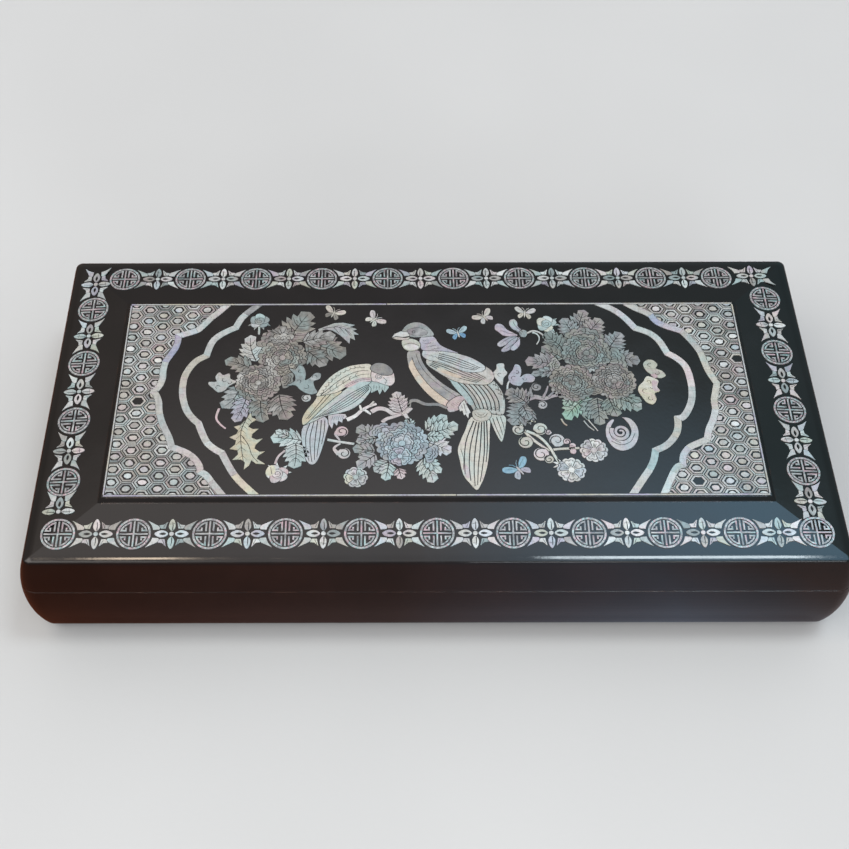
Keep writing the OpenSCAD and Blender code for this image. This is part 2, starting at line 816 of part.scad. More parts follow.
FORE_WING = [[0.1, 0.3], [0.7, 0.95], [1.25, 1], [1.3, 0.55], [0.75, 0.1]];
HIND_WING = [[0.14, -0.02], [0.7, -0.12], [0.95, -0.5], [0.6, -0.85], [0.22, -0.5]];

module butterfly(s) {
    for (side = [-1, 1]) {
        polygon(smooth([for (p = FORE_WING) s * [side * p.x, p.y]]));
        polygon(smooth([for (p = HIND_WING) s * [side * p.x, p.y]]));
    }
}

// Scales one behind another along a strip between two lines
module scales(a, b, reach = 0.6) {
    for (i = [0:2:len(a) - 3]) {
        ahead = heading(a, i + 1);
        gap = shell_gap / 2 * ahead;
        polygon([a[i] + gap, a[i + 1], a[i + 2] - gap, (a[i + 2] + b[i + 2]) / 2 + reach * ahead - gap,
            b[i + 2] - gap, b[i + 1], b[i] + gap, (a[i] + b[i]) / 2 + reach * ahead + gap]);
    }
}

// The right-hand bird: lines from the neck to the tail, each between two rows of feathers
nape = smooth_line([[-3.6, 22.6], [1, 22.8], [6.4, 21.8], [11.6, 19.8], [16.4, 17.2], [20.8, 13.4]]);
shoulder_low = smooth_line([[-4, 20], [-1.4, 17.4], [2.6, 16.4], [7.6, 14], [12.4, 11.7], [19, 11]]);
covert_top = smooth_line([[-3.6, 18.8], [-1, 16.7], [2.4, 15.8], [7.4, 13.4], [12.2, 11], [21, 10]]);
covert_low = smooth_line([[-3.2, 15.6], [0, 12.6], [4, 9.4], [8, 7.2], [13, 5.8], [21.4, 6]]);
wing_right = smooth_line([[23.6, 4.6], [26, 1], [27, -4], [26.2, -8.6]]);
wing_left = smooth_line([[7, 5], [9.6, 2.6], [13.2, -1.8], [15.6, -8]]);
breast_left = smooth_line([[-10, 20.6], [-9.6, 14.6], [-6.6, 6.6], [-2.6, 0.6], [2.2, -4]]);
breast_right = smooth_line([[-5.8, 21], [-4.4, 16], [-1.2, 10.4], [2.8, 5.6], [7.2, 1]]);
tail_left = smooth_line([[13.2, -11.8], [9.6, -20], [8.6, -27], [10.4, -37], [13.6, -43]]);
tail_right = smooth_line([[20.8, -11.8], [20.8, -22], [19.6, -32], [17.4, -40], [16, -43.4]]);

module bird_right() {
    picture(SILVER_SHELL) {
        polygon([[-16.4, 29], [-15, 30.8], [-12.8, 31.8], [-12.5, 30], [-13, 28.2], [-14.8, 28.6]]);
        polygon(smooth([[-12, 32.2], [-9.6, 35.6], [-6.4, 36.7], [-3, 35.6], [-0.4, 32], [-0.2, 30.6],
            [-4.6, 30.2], [-9, 30.6]]));
        polygon(smooth([[-11.8, 29.2], [-8, 29.6], [-3.6, 29.2], [0.2, 29.4], [2.6, 25.4], [0, 24],
            [-4, 23.8], [-4.4, 27], [-8, 28.4]], 2));
        polygon(smooth([[-11.8, 27], [-8.4, 27.4], [-5.4, 25.8], [-6, 23], [-9.2, 22.2], [-11.6, 24]]));
        feathers(breast_left, breast_right, 2, 0.4);
        feathers(nape, shoulder_low, 4, 0.8);
        feathers(covert_top, covert_low, 3, 0.8);
        feathers(wing_right, wing_left, 7);
        feathers(tail_left, tail_right, 6);
        feathers(smooth_line([[22, -11.6], [23, -17], [24.6, -20.6]]),
            smooth_line([[27, -10.8], [27.2, -16], [26.6, -20.4]]), 3);
        polygon(smooth([[4.6, -5], [7.6, -1.8], [10.8, -1.4], [12.2, -3.6], [10.6, -6], [7.4, -7.6]]));
        polygon([[9.6, -7.8], [11.4, -6.6], [12.6, -7], [13.6, -9.2], [12.6, -11.4], [11.6, -9.6],
            [10.6, -10]]);
    }
}

left_wing_top = smooth_line([[-25.6, 9], [-31, 7.6], [-37.6, 1.6], [-43.6, -5.4], [-49.6, -12.8]]);
left_wing_low = smooth_line([[-24.6, 4.2], [-28, 0], [-32.4, -5], [-37.6, -10.4], [-42, -13.4]]);
mantle_out = smooth_line([[-25.4, 14.6], [-31, 15], [-38, 11.6], [-43.4, 6], [-46.4, 0]]);
mantle_in = smooth_line([[-26, 12], [-31.2, 11.8], [-36.6, 8.6], [-41.2, 3.6], [-44.4, -1.6]]);
mantle_low = smooth_line([[-26, 9.6], [-31, 8.4], [-36.6, 4], [-40.6, -0.8], [-45.4, -7]]);

module bird_left() {
    picture(PINK_SHELL) {
        polygon(smooth([[-24.6, 13.4], [-23, 15.3], [-20.2, 15.5], [-17.6, 14.1], [-16.1, 11.6],
            [-19.6, 11.1], [-22.4, 11.9]]));
        polygon(smooth([[-23.8, 9.8], [-20.2, 9.6], [-16, 10.3], [-15.4, 8.2], [-15.8, 5.8], [-18.4, 5],
            [-22, 6.4]]));
        polygon([[-23.4, 4.2], [-21.4, 4.8], [-18.6, 3.8], [-18.2, 2.6], [-19.2, 0.4], [-20, 2],
            [-21.2, -0.4], [-21.8, 1.8], [-22.8, 0.8]]);
        scales(mantle_out, beside(mantle_in, -shell_gap));
        feathers(mantle_in, mantle_low, 2, 0.4);
        feathers(left_wing_top, left_wing_low, 7);
        feathers(smooth_line([[-49.4, -16], [-49.8, -23], [-48.8, -29], [-47.6, -31.4]]),
            smooth_line([[-41.6, -15], [-41.6, -21], [-43, -27], [-45, -31.2]]), 5);
    }
}

module branch() {
    picture(PINK_SHELL) {
        polygon(taper_ribbon(smooth_line([[-34, -11.6], [-30, -8.6], [-26, -7.8], [-21, -7.2], [-15.8, -8.6],
            [-10.6, -8.4]]), 1, 1.8));
        polygon(taper_ribbon(smooth_line([[-9.8, -7.4], [-5, -4.4], [1, -5.4], [5, -7.6]]), 1.4, 1));
        polygon(taper_ribbon(smooth_line([[35.6, -1.4], [38.6, -2.4], [42, -2.6], [47, -1.4]]), 1.8, 1));
    }
}

// Flowers are [place, radius], leaves are [place of the root, direction, length, width]
module flowers(list) {
    for (f = list) at(f[0]) peony(f[1]);
}

module leaf_group(list) {
    for (f = list) at(f[0], f[1]) leaf(f[2], f[3]);
}

module peony_left() picture(CREAM_SHELL) flowers([[[-59, 19.6], 9.8], [[-70.4, 6.8], 7.6]]);

module peony_centre() picture(AQUA_SHELL) flowers([[[-12.6, -25.4], 10.4]]);

module peony_right() {
    picture(CREAM_SHELL) flowers([[[60.8, 21], 9.4], [[54, 3.6], 8.4], [[71.4, 5.6], 8.2]]);
}

module leaves_left() {
    picture(CREAM_SHELL)
        leaf_group([
            [[-56, 30.6], 62, 12.4, 10], [[-47.8, 23], -14, 14, 11], [[-70.8, 18], 118, 13, 8],
            [[-74.6, 15.6], 170, 8, 6], [[-61, 8.8], -58, 18, 10], [[-66, -1.6], -96, 11, 8],
            [[-74.6, -1], -108, 11.6, 8], [[-78.2, 4], -160, 8.4, 5], [[-45.8, 34], 0, 14.4, 6.2],
            [[-71, -9.4], -92, 23, 8.4]]);
    picture(CREAM_SHELL)
        for (p = CORALS) patch(p);
}

module leaves_centre() {
    picture(AQUA_SHELL)
        leaf_group([
            [[-23.4, -20.6], 152, 8.4, 6.6], [[-23.6, -26.6], 208, 9, 7.4], [[-20, -35], -72, 6.4, 5],
            [[-12, -37], -30, 8, 5.6], [[-2.4, -32.6], -72, 9.2, 7], [[-3.6, -17.4], 28, 12.4, 8.4],
            [[-1.6, -24.8], -14, 7.4, 6], [[-16.4, -6.4], 84, 7.2, 5.4], [[-50.8, -19.6], 178, 11, 7],
            [[-51.2, -24.6], -112, 10.4, 7]]);
}

// Rocks beside the wing and a plume above them, as outlines
ROCKS = [
    [[25.8, 7.6], [24.9, 11], [25.8, 14.6], [27.8, 14.8], [28.2, 12.2], [29, 10.2], [28, 7.6], [26.8, 6.8]],
    [[31.2, 6], [30.2, 9], [31.6, 12], [32.8, 14.6], [34.2, 13.8], [34.2, 11], [33.6, 8.8], [36.2, 9.6],
        [38.6, 9.4], [40, 8], [38.4, 6.2], [35.4, 6], [33.4, 4.8]]];
PLUME = [
    [[36.2, 32], [33.8, 33.6], [32.2, 35.6], [32.6, 37.4], [34, 37.6], [35, 35.6], [36.6, 33.6]],
    [[34.2, 31.4], [30.6, 33.2], [28.2, 35.2], [26.2, 34.8], [26.4, 33], [29.4, 31.2], [32.8, 30.4]],
    [[33.8, 29.4], [30.4, 29.4], [27, 27.8], [25.6, 25.8], [27.4, 25], [30.2, 26.6], [33.2, 28.4]],
    [[34.4, 27.8], [31.8, 25.8], [29.4, 23.2], [29.4, 21.4], [31.4, 22.2], [33.8, 25], [35.4, 28]]];
CORALS = [
    [[-88.6, 7], [-86.4, 6.4], [-84.4, 7.4], [-82, 6.8], [-79.8, 7.6], [-80, 9.6], [-81.6, 9.8],
        [-82.6, 11.4], [-84.2, 10.4], [-85.8, 11], [-86.4, 9], [-88.2, 8.6]],
    [[-52.2, 11.2], [-50.4, 9.4], [-50.8, 7], [-48.6, 7.6], [-46.4, 10.2], [-44.6, 9.8], [-45.4, 7],
        [-47, 5.2], [-46.4, 2.6], [-48, 1.8], [-49.6, 3.8], [-51.2, 6.6], [-51.6, 8.8], [-52.8, 10.4]]];

module patch(outline) {
    polygon(smooth(outline, 2));
}

module leaves_right() {
    picture(AQUA_SHELL)
        leaf_group([
            [[61, 31.4], 84, 11.6, 12], [[71.8, 19.6], 54, 12, 7.4], [[72.4, 15.2], 12, 11, 7.4],
            [[50.4, 14], 160, 13, 9], [[51, -5.8], 222, 8, 6], [[57.6, -5.8], -80, 8.6, 8],
            [[66.4, -3.6], -64, 9, 7.4], [[73.6, -4.4], -26, 9.4, 7], [[34.4, -4.6], 196, 7.4, 8],
            [[33.6, -6.2], -84, 8, 7.6]]);
    picture(AQUA_SHELL) {
        for (p = ROCKS) patch(p);
        for (p = PLUME) patch(p);
        at([37.8, 30.2]) circle(r = 1.3);
    }
}

module buds() {
    picture(SILVER_SHELL)
        for (b = [[[-70.2, 38], 4], [[-60, -37], 4.2], [[-30, -38.4], 4.3], [[47, 36.2], 4.2],
                [[59.4, -26.4], 5], [[50.8, -35.6], 4.8], [[85.4, 12.4], 4], [[83.6, 2.6], 4]])
            at(b[0]) bud(b[1]);
}

module butterflies() {
    picture(PINK_SHELL)
        for (b = [[[-40.4, 40.9], -22, 3.3], [[-23.8, 38.8], -52, 3.7], [[10.2, 30.6], 30, 3.2],
                [[20.6, 39.6], -40, 3.6], [[38, 41.4], -20, 3.4], [[31, -36.2], 34, 4]])
            at(b[0], b[1]) butterfly(b[2]);
}

CURL_W = 1.4;
STALK_W = 0.8;

// Scrolling stalks: [place, radius, turns, start direction]
module tendrils() {
    picture(PINK_SHELL) {
        for (c = [[[-36, -17.4], 2.5, 0.9, 280], [[-36, -27.6], 2.5, 0.9, 60], [[31.2, -17.6], 2.5, 1, 20],
                [[40, -16.8], 2.8, 1, 220], [[34.8, -24.8], 2.9, 1, 60], [[45.8, -21.8], 2.8, 1, 250],
                [[39.6, -29], 2.8, 1, 80]])
            at(c[0]) curl(c[1], c[2], CURL_W, c[3]);
        for (s = [[[-41, -22], [-36.4, -22.4], [-30.4, -23]],
                [[32.4, -15.6], [36.4, -20.6], [43.4, -26], [53.6, -25.6]],
                [[36.6, -17.6], [41.4, -21.4], [44.2, -27.6], [46.4, -33]]])
            polygon(ribbon(smooth_line(s, 4), STALK_W));
    }
}

// A snail's shell: a spiral inside a crescent
module spiral_shell() {
    picture(SILVER_SHELL) at([71, -18.2]) {
        polygon(taper_ribbon(spiral(3.6, 0.7, 60, 1.8, 26), 1.3, 0.7));
        polygon(concat(
            arc_points([0.4, -1.8], 6.6, 140, 400, 14),
            reversed(arc_points([0.2, -0.3], 5.1, 150, 390, 12))));
    }
}

base_front();
base_back();
base_left();
base_right();
base_floor();
liner_front();
liner_back();
liner_left();
liner_right();
floor_pad();
lid_front();
lid_back();
lid_left();
lid_right();
lid_top();
lid_pad();
hinge_base_leaf_left();
hinge_base_leaf_right();
hinge_lid_leaf_left();
hinge_lid_leaf_right();
hinge_pin_left();
hinge_pin_right();
hinge_base_screws();
hinge_lid_screws();
panel_line();
mosaic_left();
mosaic_right();
outer_band_left();
outer_band_right();
inner_band_left();
inner_band_right();
roundels_front();
roundels_back();
roundels_left();
roundels_right();
blossoms_front();
blossoms_back();
blossoms_left();
blossoms_right();
bird_left();
bird_right();
branch();
peony_left();
peony_centre();
peony_right();
leaves_left();
leaves_centre();
leaves_right();
buds();
butterflies();
tendrils();
spiral_shell();
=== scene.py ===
"""Looks of the inlaid lacquered box: lacquer, shell inlay, hinges, lining, floor, light and camera."""

import math
import random

import bmesh
import bpy
import numpy as np
from mathutils import Matrix, Vector
from mathutils.geometry import delaunay_2d_cdt


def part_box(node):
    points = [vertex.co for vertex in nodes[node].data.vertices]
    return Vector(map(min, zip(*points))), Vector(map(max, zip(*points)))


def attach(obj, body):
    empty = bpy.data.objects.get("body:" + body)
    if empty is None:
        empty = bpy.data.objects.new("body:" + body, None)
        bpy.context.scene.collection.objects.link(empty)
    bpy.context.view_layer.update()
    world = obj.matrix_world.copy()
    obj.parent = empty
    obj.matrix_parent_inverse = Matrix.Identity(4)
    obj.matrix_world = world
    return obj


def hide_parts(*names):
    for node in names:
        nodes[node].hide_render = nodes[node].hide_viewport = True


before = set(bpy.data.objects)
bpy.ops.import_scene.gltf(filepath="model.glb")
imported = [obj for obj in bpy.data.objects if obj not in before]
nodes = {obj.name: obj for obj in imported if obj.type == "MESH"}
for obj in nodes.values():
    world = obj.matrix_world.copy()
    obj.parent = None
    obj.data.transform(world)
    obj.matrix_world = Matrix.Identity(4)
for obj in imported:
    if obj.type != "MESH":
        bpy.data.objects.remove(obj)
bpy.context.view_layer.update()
scene = bpy.context.scene

# Lengths are in metres, save in the parts that say millimetres
MM = 0.001
PANEL_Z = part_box("lid_top")[1].z
SHELL_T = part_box("panel_line")[1].z - PANEL_Z
LID_BOARD_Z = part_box("lid_top")[0].z

# The top edge of the front, a little lower than the roundels of the border
CREASE_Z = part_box("roundels_front")[0].z - 0.0007
# Half the width and depth of the box, and how much more the first is
HALF_W, HALF_D = 0.150, 0.0735
OFF_SQUARE = HALF_W - HALF_D
# The height of the border at its outer edge, and its slope
BORDER_Z = 0.04937
BORDER_FALL = math.radians(3.8)

# ------------------------------------------------------------------ art
# Everything in this part is in millimetres on the panel, x to the right and y to the back.

# The gap between pieces of shell, unless one is named
GAP = 0.3
# Half the width and depth that the pictures, bands and mosaics may fill on the panel
FIELD = (122.75, 46.3)


def at(angle):
    """The step of length 1 at an angle in degrees."""
    return np.array([math.cos(math.radians(angle)), math.sin(math.radians(angle))])


def catmull(p, n, closed):
    """A smooth line through the points p, with n steps from each point to the next."""
    p = np.array(p, float)
    m = len(p)
    out = []
    for i in range(m if closed else m - 1):
        if closed:
            a, b, c, d = p[i - 1], p[i], p[(i + 1) % m], p[(i + 2) % m]
        else:
            a, b, c, d = p[max(i - 1, 0)], p[i], p[i + 1], p[min(i + 2, m - 1)]
        for k in range(n):
            t = k / n
            out.append(0.5 * (2 * b + t * (c - a) + t * t * (2 * a - 5 * b + 4 * c - d)
                + t ** 3 * (3 * b - a - 3 * c + d)))
    if not closed:
        out.append(p[-1])
    return np.array(out)


def blob(p, n=4):
    """A smooth closed outline."""
    return catmull(p, n, True)


def curve(p, n=5):
    """A smooth line with two ends."""
    return catmull(p, n, False)


def area(p):
    """The area of an outline, positive if it runs anticlockwise."""
    x, y = p[:, 0], p[:, 1]
    return 0.5 * float(np.sum(x * np.roll(y, -1) - np.roll(x, -1) * y))


def between(a, b, f):
    return a + f * (b - a)


class Layers:
    """Flat shapes painted over one another. A tone of None is a cut down to the lacquer."""

    def __init__(self, name):
        self.name = name
        self.shapes = []

    def paint(self, p, tone):
        p = np.array(p, float)
        self.shapes.append((p if area(p) > 0 else p[::-1], tone))

    def engrave(self, p, w0=0.3, w1=None):
        """A cut along a line, narrowing from w0 to w1."""
        p = np.array(p, float)
        w1 = w0 if w1 is None else w1
        n = len(p) - 1
        for i in range(n):
            d = p[i + 1] - p[i]
            size = float(np.hypot(*d))
            if size < 1e-6:
                continue
            d /= size
            side = np.array([-d[1], d[0]])
            wa, wb = (w0 + (w1 - w0) * i / n) / 2, (w0 + (w1 - w0) * (i + 1) / n) / 2
            a, b = p[i] - d * wa * 0.5, p[i + 1] + d * wb * 0.5
            self.paint([a - side * wa, b - side * wb, b + side * wb, a + side * wa], None)

    def line(self, p, w0, w1=None, n=4):
        """A cut along a smooth curve."""
        self.engrave(curve(p, n), w0, w1)

    def patch(self, p, tone, n=3):
        """A rounded patch laid in a piece, with no gap round it."""
        self.paint(blob(p, n), tone)

    def piece(self, p, tone, gap=GAP):
        """A piece of shell with a fine gap all round it."""
        p = np.array(p, float)
        self.engrave(np.vstack([p, p[:1]]), 2 * gap)
        self.paint(p, tone)

    def round(self, p, tone, gap=GAP, n=4):
        """A piece with a rounded outline."""
        self.piece(blob(p, n), tone, gap)

    def arc(self, c, r, start, step, count, w0, w1=None):
        """A cut along count steps of a circle, from the angle start on."""
        self.engrave([np.array(c, float) + r * at(start + step * k) for k in range(count + 1)], w0, w1)

    def disc(self, c, r, tone, gap=GAP, step=36):
        """A round piece."""
        self.piece([np.array(c, float) + r * at(a) for a in range(0, 360, step)], tone, gap)

    def strip(self, p, w0, w1, tone, gap=GAP, n=4):
        """A strip of shell along a smooth curve."""
        self.strand(curve(p, n), w0, w1, tone, gap)

    def strand(self, p, w0, w1, tone, gap=GAP):
        """A strip of shell along a line, w0 wide at its start and w1 at its end."""
        p = np.array(p, float)
        n = len(p) - 1
        left, right = [], []
        for i in range(n + 1):
            d = p[min(i + 1, n)] - p[max(i - 1, 0)]
            d = d / np.hypot(*d)
            w = (w0 + (w1 - w0) * i / n) / 2
            side = np.array([-d[1], d[0]]) * w
            left.append(p[i] + side)
            right.append(p[i] - side)
        self.piece(left + right[::-1], tone, gap)


def fullness(t):
    """The width of a leaf from its root, at t = 0, to its tip, at t = 1."""
    return math.sin(math.pi * t ** 0.7) ** 0.8


def leaf(art, root, tip, width, tone, teeth=6, bend=0.0):
    """A toothed leaf with a midrib and side veins."""
    root, tip = np.array(root, float), np.array(tip, float)
    teeth = max(3, round(0.72 * teeth))
    along = tip - root
    size = float(np.hypot(*along))
    along /= size
    side = np.array([-along[1], along[0]])

    def spot(t, s):
        return root + along * size * t + side * (s * width / 2 + bend * math.sin(math.pi * t))

    halves = []
    span = teeth + 0.8
    for s in (1, -1):
        half = []
        for i in range(teeth):
            t0, t1 = (i + 0.05) / span, (i + 1) / span
            w0, w1 = fullness(t0), fullness(min(t1, 0.97))
            half += [spot(t0, s * w0 * 0.74), spot(t0 + (t1 - t0) * 0.45, s * (0.45 * w0 + 0.55 * w1) * 0.98),
                spot(t1 + 0.035, s * (w1 * 1.02 + 0.16))]
        halves.append(half)
    art.piece([root] + halves[0] + [tip] + halves[1][::-1], tone)
    art.engrave([spot(t, 0) for t in np.linspace(0.02, 0.9, 8)], 0.46, 0.2)
    for s in (1, -1):
        for i in range(teeth - 1):
            t = (i + 0.35) / span
            reach = t + 1.15 / span
            w = fullness(min(reach, 0.98)) * 0.8
            art.engrave([spot(t, 0), spot((t + reach) / 2 - 0.02, s * w * 0.55), spot(reach, s * w)], 0.34,
                0.2)
            if size > 9 and w > 0.45:
                t2 = t + 0.5 / span
                art.engrave([spot(t2 + 0.03, s * w * 0.25), spot(t2 + 0.075, s * w * 0.62)], 0.2, 0.14)


def petal(art, c, turn, r0, r1, half, tone, bumps=3, rings=2, depth=0.1):
    """A petal with a scalloped rim and lines that follow the rim."""
    c = np.array(c, float)

    def rim(f, k=1.0):
        n = 4 * bumps
        return [c + f * r1 * (1 - depth + depth * abs(math.sin(math.pi * bumps * i / n)) ** 0.7)
            * at(turn + k * half * (2 * i / n - 1)) for i in range(n + 1)]

    root = [c + r0 * at(turn + s * half * 0.7) for s in (1, -1)]
    art.piece(rim(1.0) + root, tone, 0.27)
    for i in range(rings):
        f = 1 - 0.17 * (i + 1)
        if f * r1 < r0 + 0.6:
            break
        art.engrave(rim(f, 0.8 - 0.12 * i), 0.3, 0.24)
    for s in (-0.35, 0, 0.35):
        a = turn + s * half
        art.engrave([c + (r0 + 0.12 * (r1 - r0)) * at(a), c + (r0 + 0.46 * (r1 - r0)) * at(a)], 0.27, 0.16)


def peony(art, c, r, tone, tone2, turn=0.0):
    """A full flower: three rows of petals round a curled heart."""
    c = np.array(c, float)
    for i in range(8):
        petal(art, c, turn + 45 * i, r * 0.45, r, 27, tone if i % 3 else tone2, 3, 2)
    for i in range(6):
        petal(art, c, turn + 24 + 60 * i, r * 0.25, r * 0.7, 34, tone2 if i % 2 else tone, 3, 2, 0.12)
    for i in range(4):
        petal(art, c, turn + 10 + 90 * i, r * 0.06, r * 0.43, 46, tone if i % 2 else tone2, 2, 1, 0.14)
    art.disc(c, 0.13 * r, tone2, 0.2)


def small_flower(art, c, r, tones, turn=0.0, petals=5):
    """A small round flower of broad petals, each notched and lined."""
    c = np.array(c, float)
    for i in range(petals):
        a = turn + 360 * i / petals
        petal(art, c, a, r * 0.2, r, 180 / petals * 1.04, tones[i % len(tones)], 2, 1, 0.12)
    art.disc(c, 0.22 * r, tones[0], 0.18, 40)


def round_bud(art, c, r, tones, turn=0.0):
    """A bud: two rounded rows and a swirl, with sepals at its foot."""
    c = np.array(c, float)
    for s in (-62, -24, 24, 62):
        tip = c + (r * 1.28) * at(turn + 180 + s)
        art.piece([c + 0.7 * r * at(turn + 180 + s - 16), tip, c + 0.7 * r * at(turn + 180 + s + 16)],
            tones[-1], 0.15)
    for i, a in enumerate((-130, 130, -72, 72, 0)):
        m = c + r * 0.5 * at(turn + a)
        art.piece([m + r * 0.5 * (1 + 0.06 * math.cos(3 * math.radians(b))) * at(b)
            for b in range(0, 360, 24)], tones[i % len(tones)], 0.2)
    art.disc(c, r * 0.46, tones[0], 0.2, 24)
    art.engrave([c + r * (0.36 - 0.024 * k) * at(turn + 40 * k) for k in range(13)], 0.24, 0.16)


def butterfly(art, c, turn, s, tones):
    """A butterfly of size s: an upper and a lower wing, a line in each and a feeler, twice, and a body."""
    c = np.array(c, float)
    x, y = at(turn), at(turn + 90)

    def put(p, side=1):
        return [c + s * (side * q[0] * x + q[1] * y) for q in p]

    for side in (1, -1):
        art.piece(put(blob([(0.1, 0.1), (0.55, 0.75), (1.15, 1.1), (1.5, 0.8), (1.2, 0.3), (0.6, 0.02)]),
            side), tones[0], 0.2)
        art.piece(put(blob([(0.12, -0.05), (0.6, -0.1), (0.95, -0.5), (0.7, -0.95), (0.3, -0.6)]), side),
            tones[1], 0.2)
        art.engrave(put([(0.3, 0.3), (0.8, 0.62), (1.2, 0.78)], side), 0.18, 0.1)
        art.engrave(put([(0.4, -0.25), (0.66, -0.62)], side), 0.18, 0.1)
        art.strand(put([(0.06, 0.4), (0.2, 0.8), (0.5, 1.05)], side), 0.2, 0.14, tones[0], 0.1)
    art.piece(put(blob([(0, 0.5), (0.1, 0.2), (0.09, -0.4), (0, -0.75), (-0.09, -0.4), (-0.1, 0.2)], 3)),
        tones[-1], 0.16)


def scroll(art, c, r, turn, tone, way=1, tail=None):
    """A fat curl of shell that winds in on itself, with an optional tail."""
    c = np.array(c, float)
    art.disc(c, r, tone, 0.3, 20)
    if tail is not None:
        art.strip(tail, r * 0.7, 0.5, tone, 0.05)
        art.paint([c + r * 0.96 * at(b) for b in range(0, 360, 20)], tone)
    art.engrave([c + r * (0.98 - 0.058 * k) * at(turn + way * 30 * k) for k in range(14)], 0.5, 0.3)


def tufts(art, outline, tone, marks=()):
    """An uneven coral or rock shape with short curled marks in it."""
    art.round(outline, tone, 0.3)
    for x, y, r, a in marks:
        art.arc((x, y), r, a, 36, 6, 0.26, 0.18)


def feather_lines(art, a, b, count, w=0.28, start=0.0, stop=1.0):
    """The cuts between count feathers that fill the space between two lines from root to tip."""
    a, b = curve(a, 5), curve(b, 5)
    n = len(a) - 1
    lo, hi = int(round(start * n)), int(round(stop * n))
    for i in range(1, count):
        art.engrave(between(a, b, i / count)[lo:hi + 1], w, w * 0.8)


def barbs(art, a, b, count, slant, length, w=0.16):
    """Short slanting strokes beside a line."""
    a, b = np.array(a, float), np.array(b, float)
    d = (b - a) / np.hypot(*(b - a))
    turn = math.degrees(math.atan2(d[1], d[0])) + slant
    for i in range(count):
        p = a + (b - a) * (i + 0.5) / count
        art.engrave([p, p + length * at(turn)], w, w * 0.7)


